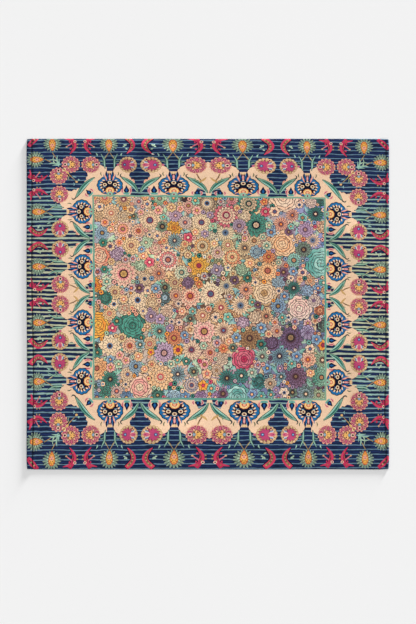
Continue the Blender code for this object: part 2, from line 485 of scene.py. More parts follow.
    @staticmethod
    def long_leaf() -> Motif:
        """A long hooked leaf that grows from the origin towards +X and +Y."""
        shadow = [(-1, -1, 5), (11, 21, 16), (28, 40, 21), (48, 55, 18), (66, 67, 9)]
        body = [(1, 1, 3), (11, 21, 11), (28, 41, 15.5), (48, 56, 12.5), (64, 67, 4)]
        edge = [(5, 3, 1), (17, 21, 3.2), (34, 38, 3.8), (56, 55, 1)]
        rib = [(3, 5, 1), (13, 25, 4.0), (29, 44, 4.6), (52, 59, 2)]
        hook = [(62, 65, 6), (71, 71, 5.5), (72, 79, 4.5), (66, 84, 1.5)]
        return [
            brush(hook, Dye.SHADE, Dye.DEEP_SAGE),
            brush(shadow, Dye.DEEP_TEAL, Dye.DEEP_SAGE),
            brush(body, Dye.TEAL, Dye.SAGE, 3),
            brush(edge, Dye.PALE_TEAL, Dye.PALE_TEAL),
            brush(rib, Dye.DEEP_TEAL, Dye.DEEP_TEAL),
        ]

    @staticmethod
    def barbed_leaf() -> Motif:
        """A crimson leaf with a side twig and a pale berry, drawn for the pair's right half."""
        body = [(45, 187, 2), (34, 200, 8), (25, 216, 14), (24, 232, 18), (30, 248, 16), (43, 268, 15)]
        arm = [(30, 246, 9), (44, 256, 10), (58, 259, 6), (70, 262, 3)]
        dark = [(37, 198, 1), (29, 216, 4), (28, 234, 6), (36, 252, 4)]
        twig = [(32, 240, 7), (44, 231, 5), (55, 223, 3)]
        barbs = [(16, 218, 160), (15, 232, 170), (36, 216, -40), (40, 250, -60)]
        spots = [(30, 226), (26, 240), (40, 258), (31, 208)]
        return [
            *[
                Patch(moved(petal(8, 7, 0.5, 0.3), shifted(x, y) @ turned(a)), Dye.OLIVE, Dye.TAN)
                for x, y, a in barbs[:2]
            ],
            *[
                Patch(moved(petal(11, 9, 0.4, 0), shifted(x, y) @ turned(a)), Dye.RED, Dye.CRIMSON)
                for x, y, a in barbs[2:]
            ],
            Patch(moved(stroke(body, 2), shifted(3, -1)), Dye.INK, Dye.INK),
            brush(twig, Dye.CRIMSON, Dye.PINK),
            Patch(oval(4.6, 4.0, (57, 221), 7), Dye.BUTTER, Dye.TAN),
            brush(arm, Dye.RED, Dye.CRIMSON),
            brush(body, Dye.RED, Dye.CRIMSON, inking=Inking(14, 0, 0, 0.35)),
            brush(dark, Dye.WINE, Dye.CRIMSON),
            *[Patch(oval(2.4, 2.8, at, 6), Dye.WINE, Dye.OLIVE) for at in spots],
            Patch(oval(6.6, 5.8, (21, 247), 8), Dye.BUTTER, Dye.PALE_PINK),
            Patch(oval(3.8, 3.4, (21, 247), 7), Dye.WINE, Dye.BROWN),
        ]

    @staticmethod
    def crescent_leaf() -> Motif:
        """A red crescent with a spotted inlay, drawn for the pair's right half."""
        body = [(47, 190, 2), (34, 203, 11), (23, 220, 18), (22, 236, 20), (32, 252, 20), (50, 268, 19)]
        inlay = [(40, 199, 1), (28, 214, 7), (24, 230, 9), (31, 247, 9), (45, 260, 8)]
        beads = [(27, 217), (24, 228), (26, 239), (33, 250), (44, 259)]
        sprig = [(50, 226, 40), (52, 224, 110), (52, 226, -20), (54, 214, 200)]
        return [
            Patch(moved(stroke(body, 2), shifted(4, -1)), Dye.INK, Dye.INK),
            brush(body, Dye.RED, Dye.RED, inking=Inking(12, 0, 0, 0.3)),
            brush(inlay, Dye.WINE, Dye.OLIVE),
            *[Patch(oval(3.3, 3.6, at, 6), Dye.GOLD, Dye.TAN) for at in beads],
            *[
                Patch(moved(petal(12, 6, 0.5, 0.4), shifted(x, y) @ turned(a)), Dye.PALE_SAGE, Dye.SAGE)
                for x, y, a in sprig
            ],
        ]

    @staticmethod
    def line_bud(tall: float) -> Motif:
        """A navy bud on a teal foot that stands on the field's frame line.

        Args:
            tall: Its height as a share of the full one.
        """
        sepal = [
            Patch(moved(petal(19, 10, 0.5, 0.2), shifted(0, 2) @ turned(32)), Dye.TEAL, Dye.PALE_TEAL),
            brush([(12, 36, 2), (18, 26, 9), (17, 12, 6), (12, 3, 1)], Dye.PINK, Dye.PALE_PINK),
            brush([(14, 33, 1), (18, 24, 3), (17, 12, 1)], Dye.CRIMSON, Dye.WINE),
        ]
        bud = [
            *both_sides(sepal),
            Patch(oval(8, 7, (0, 9), 8), Dye.PALE_TEAL, Dye.TEAL),
            brush([(0, 12, 14), (0, 22, 23), (0, 32, 12), (0, 44, 1)], Dye.NAVY, Dye.INK),
            brush([(0, 15, 4), (0, 23, 8), (0, 32, 1)], Dye.BLUE, Dye.DEEP_BLUE),
        ]
        return placed(bud, stretched(0.8 + 0.2 * tall, tall))

    @staticmethod
    def twig() -> Motif:
        """A brown twig that climbs from a long leaf to a rosette."""
        return [
            brush([(0, 0, 8), (-3, 10, 6), (4, 22, 5), (12, 44, 5)], Dye.BROWN, Dye.TAN),
            brush([(1, 2, 3), (-1, 10, 2.4), (5, 22, 1)], Dye.TAN, Dye.GOLD),
            brush([(-2, 6, 6), (-12, 12, 8), (-22, 24, 3)], Dye.GOLD, Dye.TAN),
            brush([(4, 2, 2), (14, 12, 5), (18, 24, 1)], Dye.OLIVE, Dye.SAGE),
        ]

    @staticmethod
    def fork() -> Motif:
        """A fine forked twig that runs in from a corner's rosettes to a pale bud."""
        return [
            brush([(-4, -14, 2), (-14, -22, 13), (-26, -24, 1)], Dye.INK, Dye.INK),
            brush([(-2, -2, 2.5), (-14, -18, 3.6), (-28, -32, 3), (-40, -45, 2)], Dye.TAN, Dye.OLIVE),
            brush([(-14, -20, 3), (-8, -32, 4), (-14, -42, 2)], Dye.SAGE, Dye.OLIVE),
            brush([(-24, -28, 2), (-34, -26, 4), (-44, -30, 1)], Dye.PALE_TEAL, Dye.SLATE),
            Patch(oval(5.6, 5.0, (-43, -49), 7), Dye.PALE_PINK, Dye.GOLD),
            Patch(moved(spiked(6.4, 2.4, 5), shifted(-52, -40)), Dye.PALE_TEAL, Dye.SAGE),
            brush([(-30, -52, 1), (-34, -60, 4), (-30, -67, 1)], Dye.PALE_TEAL, Dye.SLATE),
        ]


class Bay(NamedTuple):
    """One half repeat of the border.

    Attributes:
        start: How far from the side's middle its cartouche end lies.
        length: Its length, less than 0 where it runs back towards the side's middle.
        whole: Whether its cartouche end is drawn, which a corner's isn't.
    """

    start: float
    length: float
    whole: bool


@dataclass
class BorderPlan:
    """Where the border's motifs lie, in millimetres.

    A bay runs from a cartouche's middle, at 0, to a gap's middle, at its full length. The second
    number of each place is the distance outwards from the frame line of the field.
    """

    half_width: float = 487.0
    half_height: float = 428.0
    depth: float = 296.0
    line_width: float = 7.5
    bay: float = 239.0
    rosette_out: float = 141.0
    star_along: float = 42.0
    gold_along: float = 195.5
    palmette_at: tuple[float, float] = (119.0, 47.5)
    sunburst_at: tuple[float, float] = (119.0, 228.0)
    tendrils_at: tuple[float, float] = (119.5, 118.0)
    leaf_foot: tuple[float, float] = (4.0, 16.5)
    gap_bud: float = 187.0
    cartouche_bud: float = 40.0
    top_bays: tuple[Bay, ...] = (Bay(0.0, 293.0, True), Bay(536.5, -244.0, False))
    side_bays: tuple[Bay, ...] = (Bay(0.0, 236.8, True), Bay(476.8, -239.8, False))
    corner_star: tuple[float, float] = (90.5, 143.0)
    star_size: float = 1.12

    def cream_ground(self) -> Outline:
        """The cream shape behind the palmette of one bay."""
        return np.array(
            [
                *[(0, 0), (0, 157), (5, 154), (10, 143), (24, 140), (80, 141), (90, 135)],
                *[(97, 131), (103, 122), (106, 112), (134, 112), (137, 122), (143, 131)],
                *[(150, 135), (160, 141), (208, 141), (207, 118), (201, 101), (199, 92)],
                *[(203, 84), (202, 76), (210, 74), (214, 67), (222, 66), (221, 56), (210, 44)],
                *[(203, 32), (201, 18), (204, 0)],
            ],
            dtype=float,
        )

    def cartouche_notch(self) -> Outline:
        """The navy wedge under the long leaf at a cartouche's middle."""
        return np.array([(8, 3), (46, 3), (49, 12), (45, 24), (37, 40), (24, 33), (11, 22)], dtype=float)

    def gap_flecks(self) -> Motif:
        """The pink and amber flecks on the cream ground's edge by a gap."""
        flecks = [(206, 84, 250, 15, Dye.PALE_PINK), (212, 77, 300, 15, Dye.PINK)]
        flecks.append((206, 40, 240, 14, Dye.PINK))
        return [
            Patch(moved(petal(length, 8, 0.5, 0.7), shifted(x, y) @ turned(angle)), dye, Dye.PEACH)
            for x, y, angle, length, dye in flecks
        ]

    def star_at(self, along: float, out: float) -> Motif:
        """The wine-red rosette at its place, at its size in the print."""
        return placed(Border.star_rosette(), shifted(along, out) @ stretched(self.star_size, self.star_size))

    def bay_motif(self, whole: bool) -> Motif:
        """All that is drawn in one bay, from the back to the front."""
        along, out = self.palmette_at
        cream = self.cream_ground() if whole else np.clip(self.cream_ground(), (30, 0), None)
        drawn = [Patch(cream, Dye.CREAM, Dye.CREAM), *self.gap_flecks()]
        if whole:
            drawn.append(Patch(self.cartouche_notch(), Dye.NAVY, Dye.NAVY, True))
            drawn += placed(Border.line_bud(0.62), shifted(self.cartouche_bud, 2))
            drawn += placed(Border.long_leaf(), shifted(*self.leaf_foot))
            drawn += placed(Border.twig(), shifted(29, 62))
        drawn += placed(Border.line_bud(1.0), shifted(self.gap_bud, 3))
        from_gap = shifted(self.bay - self.leaf_foot[0], self.leaf_foot[1]) @ stretched(-1, 1)
        drawn += placed(Border.long_leaf(), from_gap)
        drawn += placed(both_sides(Border.tendrils()), shifted(*self.tendrils_at))
        sprout = [brush([(33, 53, 2), (37, 62, 4.5), (35, 72, 1)], Dye.DEEP_SAGE, Dye.OLIVE)]
        drawn += placed(both_sides(sprout), shifted(along, out - 10))
        drawn += placed(Border.palmette(), shifted(along, out))
        drawn += self.star_at(self.star_along, self.rosette_out)
        drawn += placed(Border.gold_rosette(), shifted(self.gold_along, self.rosette_out) @ turned(180))
        flick = [brush([(50, 60, 1), (49, 67, 5), (54, 76, 1)], Dye.PALE_TEAL, Dye.SAGE)]
        drawn += placed(both_sides(flick), shifted(along, out + 72))
        drawn += placed(Border.sunburst(), shifted(*self.sunburst_at))
        drawn += placed(Border.barbed_leaf(), shifted(0, 2.5))
        drawn += placed(Border.crescent_leaf(), shifted(self.bay, 2.5) @ stretched(-1, 1))
        return drawn

    def corner_cream(self) -> Outline:
        """The cream ground round a corner, outwards from the field's corner."""
        steps = [(18, 116), (22, 102), (20, 90), (28, 82), (26, 72), (35, 65), (34, 54), (43, 46)]
        steps += [(54, 35), (64, 34), (70, 26), (80, 28), (90, 20), (102, 22), (116, 18)]
        far = [(-2, -2), (-60, -2), (-60, 130), (0, 140)]
        return np.array([*far, *steps, (140, 0), (130, -60), (-2, -60)], dtype=float)

    def corner_motif(self) -> Motif:
        """What a corner adds: across and up are the distances outwards from the field's corner."""
        half = [
            *self.star_at(*self.corner_star),
            *placed(Border.sunburst(), shifted(166, 231)),
            brush([(168, 200, 3.6), (160, 186, 3.4), (156, 178, 3), (148, 168, 2)], Dye.TAN, Dye.OLIVE),
            brush([(142, 134, 3), (146, 152, 7), (149, 168, 6), (146, 184, 1)], Dye.SAGE, Dye.PALE_TEAL),
            brush([(136, 138, 2), (140, 152, 4), (138, 170, 1)], Dye.PALE_TEAL, Dye.SAGE),
            brush([(150, 160, 4), (166, 165, 4), (184, 160, 1)], Dye.SAGE, Dye.PALE_SAGE),
            *placed(Border.barbed_leaf(), shifted(49, 2.5)),
        ]
        leaf_turn = shifted(-8, 82) @ turned(-46) @ stretched(1.26, 1.0) @ turned(-48)
        crescent = [
            brush([(222, 272, 14), (246, 252, 22), (266, 228, 14)], Dye.RED, Dye.CRIMSON, 3),
            brush([(230, 266, 4), (246, 252, 9), (260, 236, 3)], Dye.BROWN, Dye.WINE),
            Patch(oval(4, 4, (240, 258), 7), Dye.BUTTER, Dye.TAN),
            Patch(oval(4, 4, (252, 246), 7), Dye.SAGE, Dye.OLIVE),
        ]
        link = [
            Patch(moved(petal(18, 9, 0.5, 0.5), shifted(112, 112) @ turned(angle)), dye, Dye.GOLD)
            for angle, dye in ((20, Dye.BUTTER), (70, Dye.BUTTER), (45, Dye.WINE), (225, Dye.GOLD))
        ]
        return [
            Patch(self.corner_cream(), Dye.CREAM, Dye.CREAM),
            *placed(Border.line_bud(0.8), shifted(4, 2) @ turned(-45)),
            *placed(Border.long_leaf(), leaf_turn),
            *placed(Border.fork(), shifted(111, 112)),
            *half,
            *placed(half, DIAGONAL),
            *link,
            *crescent,
        ]

    def sides(self) -> list[tuple[Affine, tuple[Bay, ...]]]:
        """Each side's matrix from (along, outwards) to the print, and its bays."""
        top = shifted(0, self.half_height)
        right = shifted(self.half_width, 0) @ DIAGONAL
        return [
            (top, self.top_bays),
            (stretched(1, -1) @ top, self.top_bays),
            (right, self.side_bays),
            (stretched(-1, 1) @ right, self.side_bays),
        ]

    def navy_bands(self) -> Motif:
        """The striped navy ground, as four mitred bands round the field."""
        inner = SQUARE * (self.half_width, self.half_height)
        outer = inner + np.sign(inner) * self.depth
        bands = []
        for first in range(4):
            second = (first + 1) % 4
            corners = np.array([inner[first], outer[first], outer[second], inner[second]])
            bands.append(Patch(corners, Dye.NAVY, Dye.NAVY, True))
        return bands

    def frame_line(self) -> Motif:
        """The teal line between the field and the border, as four narrow strips."""
        half = self.line_width / 2
        strips = []
        for matrix, reach in (
            (shifted(0, self.half_height), self.half_width),
            (shifted(0, -self.half_height), self.half_width),
            (shifted(self.half_width, 0) @ turned(90), self.half_height),
            (shifted(-self.half_width, 0) @ turned(90), self.half_height),
        ):
            along = np.linspace(-reach - half, reach + half, 49)
            sway = 0.9 * np.sin(along * 0.09) + 0.6 * np.sin(along * 0.23)
            lower = np.column_stack([along, -half + sway])
            upper = np.column_stack([along, half + sway])[::-1]
            strips.append(Patch(moved(np.vstack([lower, upper]), matrix), Dye.TEAL, Dye.SAGE))
        return strips

    def motifs(self) -> Motif:
        """The whole border, from the back to the front."""
        drawn = self.navy_bands()
        corners = [(1, 1), (-1, 1), (-1, -1), (1, -1)]
        corner = placed(self.corner_motif(), shifted(self.half_width, self.half_height))
        for across, up in corners:
            drawn += placed(corner[:1], stretched(across, up))
        for matrix, bays in self.sides():
            for bay in bays:
                motif = self.bay_motif(bay.whole)
                for side in (1, -1):
                    fit = shifted(side * bay.start, 0) @ stretched(side * bay.length / self.bay, 1)
                    drawn += placed(motif, matrix @ fit)
        for across, up in corners:
            drawn += placed(corner[1:], stretched(across, up))
        return drawn + self.frame_line()


class Kind(Enum):
    """The kinds of flower in the field."""

    DAISY = "daisy"
    DAHLIA = "dahlia"
    ROSE = "rose"
    ASTER = "aster"
    BLOSSOM = "blossom"
    BUTTON = "button"
    SPRIG = "sprig"


class Tone(NamedTuple):
    """The dyes of one flower: its petals, their shading, its ring and its eye."""

    light: Dye
    deep: Dye
    ring: Dye
    eye: Dye


WARM_TONES = (
    Tone(Dye.PALE_CREAM, Dye.SALMON, Dye.WINE, Dye.ORANGE),
    Tone(Dye.PALE_CREAM, Dye.PINK, Dye.BROWN, Dye.GOLD),
    Tone(Dye.PALE_CREAM, Dye.TAN, Dye.SHADE, Dye.PEACH),
    Tone(Dye.PALE_CREAM, Dye.CREAM, Dye.WINE, Dye.SLATE),
    Tone(Dye.BUTTER, Dye.PEACH, Dye.BROWN, Dye.SALMON),
    Tone(Dye.PALE_CREAM, Dye.CREAM, Dye.SLATE, Dye.SHADE),
    Tone(Dye.BUTTER, Dye.PEACH, Dye.CRIMSON, Dye.PALE_CREAM),
    Tone(Dye.PALE_CREAM, Dye.MAUVE, Dye.SHADE, Dye.SALMON),
    Tone(Dye.BUTTER, Dye.TAN, Dye.WINE, Dye.CREAM),
)
COOL_TONES = (
    Tone(Dye.PALE_TEAL, Dye.TEAL, Dye.SHADE, Dye.PEACH),
    Tone(Dye.TEAL, Dye.DEEP_TEAL, Dye.INK, Dye.TAN),
    Tone(Dye.PALE_SLATE, Dye.SLATE, Dye.NAVY, Dye.PEACH),
    Tone(Dye.PALE_SAGE, Dye.SAGE, Dye.BROWN, Dye.CREAM),
    Tone(Dye.PALE_CREAM, Dye.TEAL, Dye.SHADE, Dye.BUTTER),
    Tone(Dye.LILAC, Dye.MAUVE, Dye.SHADE, Dye.PALE_PINK),
    Tone(Dye.PALE_SLATE, Dye.DEEP_SAGE, Dye.INK, Dye.CREAM),
    Tone(Dye.MAUVE, Dye.BROWN, Dye.SHADE, Dye.TAN),
)
ACCENTS = (
    Tone(Dye.YELLOW, Dye.ORANGE, Dye.WINE, Dye.RED),
    Tone(Dye.PEACH, Dye.RUST, Dye.WINE, Dye.YELLOW),
    Tone(Dye.PINK, Dye.CRIMSON, Dye.WINE, Dye.PALE_CREAM),
    Tone(Dye.TEAL, Dye.DEEP_TEAL, Dye.INK, Dye.CREAM),
    Tone(Dye.PALE_SLATE, Dye.SLATE, Dye.INK, Dye.GOLD),
    Tone(Dye.SAGE, Dye.SHADE, Dye.INK, Dye.TAN),
)


class Wash(NamedTuple):
    """One cloud of colour over the meadow: its middle, how far it spreads and its dye."""

    x: float
    y: float
    spread: float
    dye: Dye


WASHES = (
    Wash(-350, 290, 110, Dye.PALE_CREAM),
    Wash(-130, 350, 90, Dye.BUTTER),
    Wash(60, 330, 90, Dye.SAGE),
    Wash(230, 300, 90, Dye.CREAM),
    Wash(410, 330, 100, Dye.LILAC),
    Wash(-420, 60, 100, Dye.PALE_CREAM),
    Wash(-200, 130, 110, Dye.BUTTER),
    Wash(30, 110, 100, Dye.TEAL),
    Wash(250, 90, 100, Dye.TAN),
    Wash(440, 80, 90, Dye.LILAC),
    Wash(-370, -140, 100, Dye.PALE_SAGE),
    Wash(-130, -100, 90, Dye.MAUVE),
    Wash(110, -110, 100, Dye.CREAM),
    Wash(330, -120, 100, Dye.SLATE),
    Wash(-400, -340, 100, Dye.CREAM),
    Wash(-170, -330, 100, Dye.PALE_CREAM),
    Wash(60, -340, 100, Dye.LILAC),
    Wash(260, -330, 100, Dye.SLATE),
    Wash(430, -330, 90, Dye.TAN),
)


def washed(at: np.ndarray) -> np.ndarray:
    """The cloudy colour over the meadow at points of the print, as linear colours."""
    x, y = at[..., 0], at[..., 1]
    near = np.array([np.exp(-((x - w.x) ** 2 + (y - w.y) ** 2) / (2 * w.spread**2)) for w in WASHES]) + 1e-6
    dyes = np.array([linear(w.dye.value) for w in WASHES])
    return np.tensordot(near, dyes, (0, 0)) / near.sum(axis=0)[..., None]


class Planting(NamedTuple):
    """How many flowers of one kind are sown, and how large."""

    kind: Kind
    count: int
    smallest: float
    largest: float
    crowding: float


@dataclass
class FlowerField:
    """The generic meadow print that fills the middle: sown by chance from a fixed seed.

    Attributes:
        half_width: Half the field's width, in millimetres.
        half_height: Half its height, in millimetres.
        seed: The seed of every random draw.
        wash: How much of the cloudy colour lies over the petals.
    """

    half_width: float
    half_height: float
    seed: int = 71
    wash: float = 0.28
    plantings: tuple[Planting, ...] = (
        Planting(Kind.ROSE, 11, 52, 70, 0.85),
        Planting(Kind.DAISY, 12, 44, 60, 0.80),
        Planting(Kind.DAHLIA, 16, 40, 58, 0.78),
        Planting(Kind.ASTER, 24, 32, 46, 0.76),
        Planting(Kind.DAISY, 44, 26, 36, 0.76),
        Planting(Kind.ROSE, 36, 22, 34, 0.76),
        Planting(Kind.BLOSSOM, 215, 15, 24, 0.76),
        Planting(Kind.SPRIG, 170, 14, 22, 0.62),
        Planting(Kind.BUTTON, 360, 6, 11, 0.72),
    )
    draws: random.Random = field(init=False)

    def __post_init__(self) -> None:
        """Starts the random draws."""
        self.draws = random.Random(self.seed)

    def tone(self, x: float, y: float) -> Tone:
        """Picks a flower's dyes: more warm and pale ones at the upper left."""
        if self.draws.random() < 0.16:
            return self.draws.choice(ACCENTS)
        warmth = 0.60 - 0.16 * x / self.half_width + 0.14 * y / self.half_height
        return self.draws.choice(WARM_TONES if self.draws.random() < warmth else COOL_TONES)

    @staticmethod
    def shadow(outline: Outline) -> Patch:
        """The dark shape behind a petal or flower, which shows as the line round it."""
        return Patch(outline, Dye.SHADE, Dye.SHADE, wash=0.12)

    def petals(self, outline: Outline, heart: Dye, rim: Dye, lines: Inking) -> Patch:
        """A shape that keeps its heart's dye as far as half its reach."""
        return Patch(outline, heart, rim, inking=lines, wash=self.wash, core=0.5)

    def tier(
        self, radius: float, lobes: int, depth: float, dyes: tuple[Dye, Dye], lines: Inking, edge: float = 1.7
    ) -> Motif:
        """One layer of petals, a little off its middle, with the dark line round it.

        Args:
            radius: Its reach.
            lobes: How many petals it has.
            depth: The depth of the notches between them, as a share of its reach.
            dyes: The dyes of its heart and its rim.
            lines: Its fine lines.
            edge: The width of the dark line.

        Returns:
            The layer.
        """
        off = radius * 0.05
        lie = shifted(self.draws.uniform(-off, off), self.draws.uniform(-off, off))
        outer = radius + edge
        layer = [
            self.shadow(lobed(outer, outer, lobes, depth * 0.7, 3)),
            self.petals(lobed(radius, radius, lobes, depth, 3), *dyes, lines),
        ]
        return placed(layer, lie @ turned(self.draws.uniform(0, 360 / lobes)))

    def eye(self, radius: float, tone: Tone) -> Motif:
        """A flower's ringed eye."""
        inner = radius * 0.66
        points = 10 if radius > 9 else 7
        lines = Inking(7, 1.2, -1.2, 0.7) if radius > 9 else PLAIN
        return [
            Patch(oval(radius, radius, corners=points), tone.ring, tone.ring, wash=0.1),
            Patch(oval(inner, inner, corners=points), tone.eye, tone.eye, inking=lines, wash=0.15),
        ]

    def daisy(self, radius: float, tone: Tone) -> Motif:
        """Long petals round a ringed eye."""
        lobes = self.draws.randint(12, 16)
        lines = Inking(lobes, 0, 0, 0.9)
        return [
            *self.tier(radius, lobes, 0.24, (tone.deep, tone.light), lines),
            *self.tier(radius * 0.66, lobes, 0.20, (tone.deep, tone.light), lines, 1.3),
            *self.eye(radius * self.draws.uniform(0.24, 0.34), tone),
        ]

    def dahlia(self, radius: float, tone: Tone) -> Motif:
        """Many layers of short petals."""
        lobes = self.draws.randint(13, 16)
        drawn = []
        for share in (1.0, 0.74, 0.50):
            rim = tone.light if self.draws.random() < 0.75 else tone.eye
            lines = Inking(lobes, 0.3, 0.3, 0.8)
            drawn += self.tier(radius * share, lobes, 0.20, (tone.deep, rim), lines, 1.6)
        return drawn + self.eye(radius * self.draws.uniform(0.18, 0.28), tone)

    def rose(self, radius: float, tone: Tone) -> Motif:
        """Cupped petals, layer on layer."""
        swirl = self.draws.choice((1, -1))
        drawn = []
        for share, lobes in ((1.0, 9), (0.80, 8), (0.60, 7), (0.42, 5), (0.25, 4)):
            dyes = (tone.deep, tone.light) if self.draws.random() < 0.7 else (tone.light, tone.deep)
            if radius * share > 7:
                lines = Inking(lobes, swirl * 1.6, swirl * 1.6, 0.85)
                drawn += self.tier(radius * share, lobes, 0.13, dyes, lines, 1.9)
        return drawn

    def aster(self, radius: float, tone: Tone) -> Motif:
        """Layers of fine spikes."""
        spikes = self.draws.randint(14, 18)
        lines = Inking(spikes, 0.3, 0.3, 0.8)
        drawn = []
        layers = ((1.0, 0.66, tone.deep), (0.72, 0.46, tone.deep), (0.46, 0.28, tone.ring))
        for share, inner, heart in layers:
            turn = turned(self.draws.uniform(0, 20))
            shadow = spiked(radius * share + 2.6, radius * inner + 2.0, spikes)
            fine = spiked(radius * share, radius * inner, spikes)
            drawn += placed([self.shadow(shadow), self.petals(fine, heart, tone.light, lines)], turn)
        return drawn + self.eye(radius * 0.2, tone)

    def blossom(self, radius: float, tone: Tone) -> Motif:
        """Five to eight broad petals round a ringed eye."""
        lobes = self.draws.randint(5, 8)
        return [
            *self.tier(radius, lobes, 0.26, (tone.deep, tone.light), Inking(lobes, 0, 0, 0.9)),
            *self.eye(radius * self.draws.uniform(0.30, 0.44), tone),
        ]

    def button(self, radius: float, tone: Tone) -> Motif:
        """A small round flower head."""
        return [
            self.shadow(oval(radius + 1.4, radius + 1.4, corners=7)),
            Patch(lobed(radius, radius, 4, 0.16, 2), tone.light, tone.deep, wash=self.wash),
            Patch(oval(radius * 0.45, radius * 0.45, corners=5), tone.ring, tone.ring, wash=0.1),
        ]

    def sprig(self, radius: float, tone: Tone) -> Motif:
        """A few leaves on one foot."""
        greens = [(Dye.TEAL, Dye.PALE_TEAL), (Dye.SAGE, Dye.PALE_SAGE)]
        greens += [(Dye.TAN, Dye.BUTTER), (Dye.SLATE, Dye.PALE_TEAL)]
        dyes = self.draws.choice(greens)
        blade = petal(radius * 1.30, radius * 0.52, 0.5, 0.0)
        leaf = [
            self.shadow(petal(radius * 1.45, radius * 0.74, 0.5, 0.0)),
            Patch(blade, *dyes, inking=Inking(2, 0, 0, 0.8), wash=self.wash),
        ]
        return ring(leaf, 4, 0, 140)

    def sow(self) -> list[tuple[Kind, float, float, float]]:
        """Finds a place for each flower, the largest first.

        Returns:
            Rows of kind, x, y and radius.
        """
        sown = np.zeros((0, 3))
        kinds: list[Kind] = []
        for planting in self.plantings:
            for _ in range(planting.count):
                radius = self.draws.uniform(planting.smallest, planting.largest)
                for _ in range(60):
                    x = self.draws.uniform(-self.half_width, self.half_width)
                    y = self.draws.uniform(-self.half_height, self.half_height)
                    apart = np.hypot(sown[:, 0] - x, sown[:, 1] - y)
                    if np.all(apart - planting.crowding * (radius + sown[:, 2]) > 0):
                        sown = np.vstack([sown, (x, y, radius)])
                        kinds.append(planting.kind)
                        break
        return [(kind, *row) for kind, row in zip(kinds, sown.tolist())]

    def motifs(self) -> Motif:
        """The whole field, clipped to its frame, from the back to the front."""
        low = np.array([-self.half_width, -self.half_height])
        ground = np.array([low, (-low[0], low[1]), -low, (low[0], -low[1])])
        drawn = [Patch(ground, Dye.TAN, Dye.SLATE, inking=Inking(90, 20, -20, 1.0), wash=0.8)]
        drawers: dict[Kind, Callable[[float, Tone], Motif]] = {
            Kind.SPRIG: self.sprig,
            Kind.DAHLIA: self.dahlia,
            Kind.ROSE: self.rose,
            Kind.ASTER: self.aster,
            Kind.DAISY: self.daisy,
            Kind.BLOSSOM: self.blossom,
            Kind.BUTTON: self.button,
        }
        rows = [
            (row[0] is not Kind.SPRIG, -row[3] * self.draws.uniform(0.6, 1.5), row)
            for row in self.sow()
        ]
        for _, _, (kind, x, y, radius) in sorted(rows, key=lambda entry: entry[:2]):
            flower = drawers[kind](radius, self.tone(x, y))
            spin = self.draws.uniform(0, 360)
            for patch in placed(flower, shifted(x, y) @ turned(spin)):
                outline = clipped(patch.outline, low, -low)
                if len(outline) > 2:
                    drawn.append(replace(patch, outline=outline))
        return drawn


def clipped(outline: Outline, low: Sequence[float], high: Sequence[float]) -> Outline:
    """The part of an outline inside an upright box."""
    points = [tuple(p) for p in outline]
    for axis in (0, 1):
        for edge, sign in ((low[axis], 1), (high[axis], -1)):
            kept = []
            for a, b in zip(points, points[1:] + points[:1]):
                inside_a, inside_b = sign * (a[axis] - edge) >= 0, sign * (b[axis] - edge) >= 0
                if inside_a:
                    kept.append(a)
                if inside_a != inside_b:
                    share = (edge - a[axis]) / (b[axis] - a[axis])
                    kept.append((a[0] + share * (b[0] - a[0]), a[1] + share * (b[1] - a[1])))
            points = kept
    return np.array(points)


class Ridge(NamedTuple):
    """A soft low ridge in the cloth, in metres: its middle, its heading in degrees and its size."""

    x: float
    y: float
    heading: float
    half_length: float
    half_width: float
    height: float


class Hem(NamedTuple):
    """A turned side hem, in metres.

    Attributes:
        inwards: The way from its edge to the cloth's middle, 1 or -1.
        width: From its edge to its groove.
        thickness: Of its two layers.
        groove_shade: How much painted shade darkens its groove.
        groove_shade_reach: How far that painted shade reaches, for each unit of the groove's half width.
    """

    inwards: int
    width: float
    thickness: float
    groove_shade: float
    groove_shade_reach: float


# The last two numbers of each hem set the painted shade in its groove
HEMS = {"left": Hem(1, 0.021, 0.0055, 0.72, 1.5), "right": Hem(-1, 0.0125, 0.0040, 0.64, 1.0)}


class Bulge(NamedTuple):
    """A stretch where a side hem was folded wider, or where an edge draws in."""

    side: str
    along: float
    half_length: float
    amount: float


def bump(distance: np.ndarray) -> np.ndarray:
    """A smooth bump: 1 at 0, and 0 from 1 outwards."""
    return np.where(np.abs(distance) < 1, (1 - distance * distance) ** 2, 0.0)


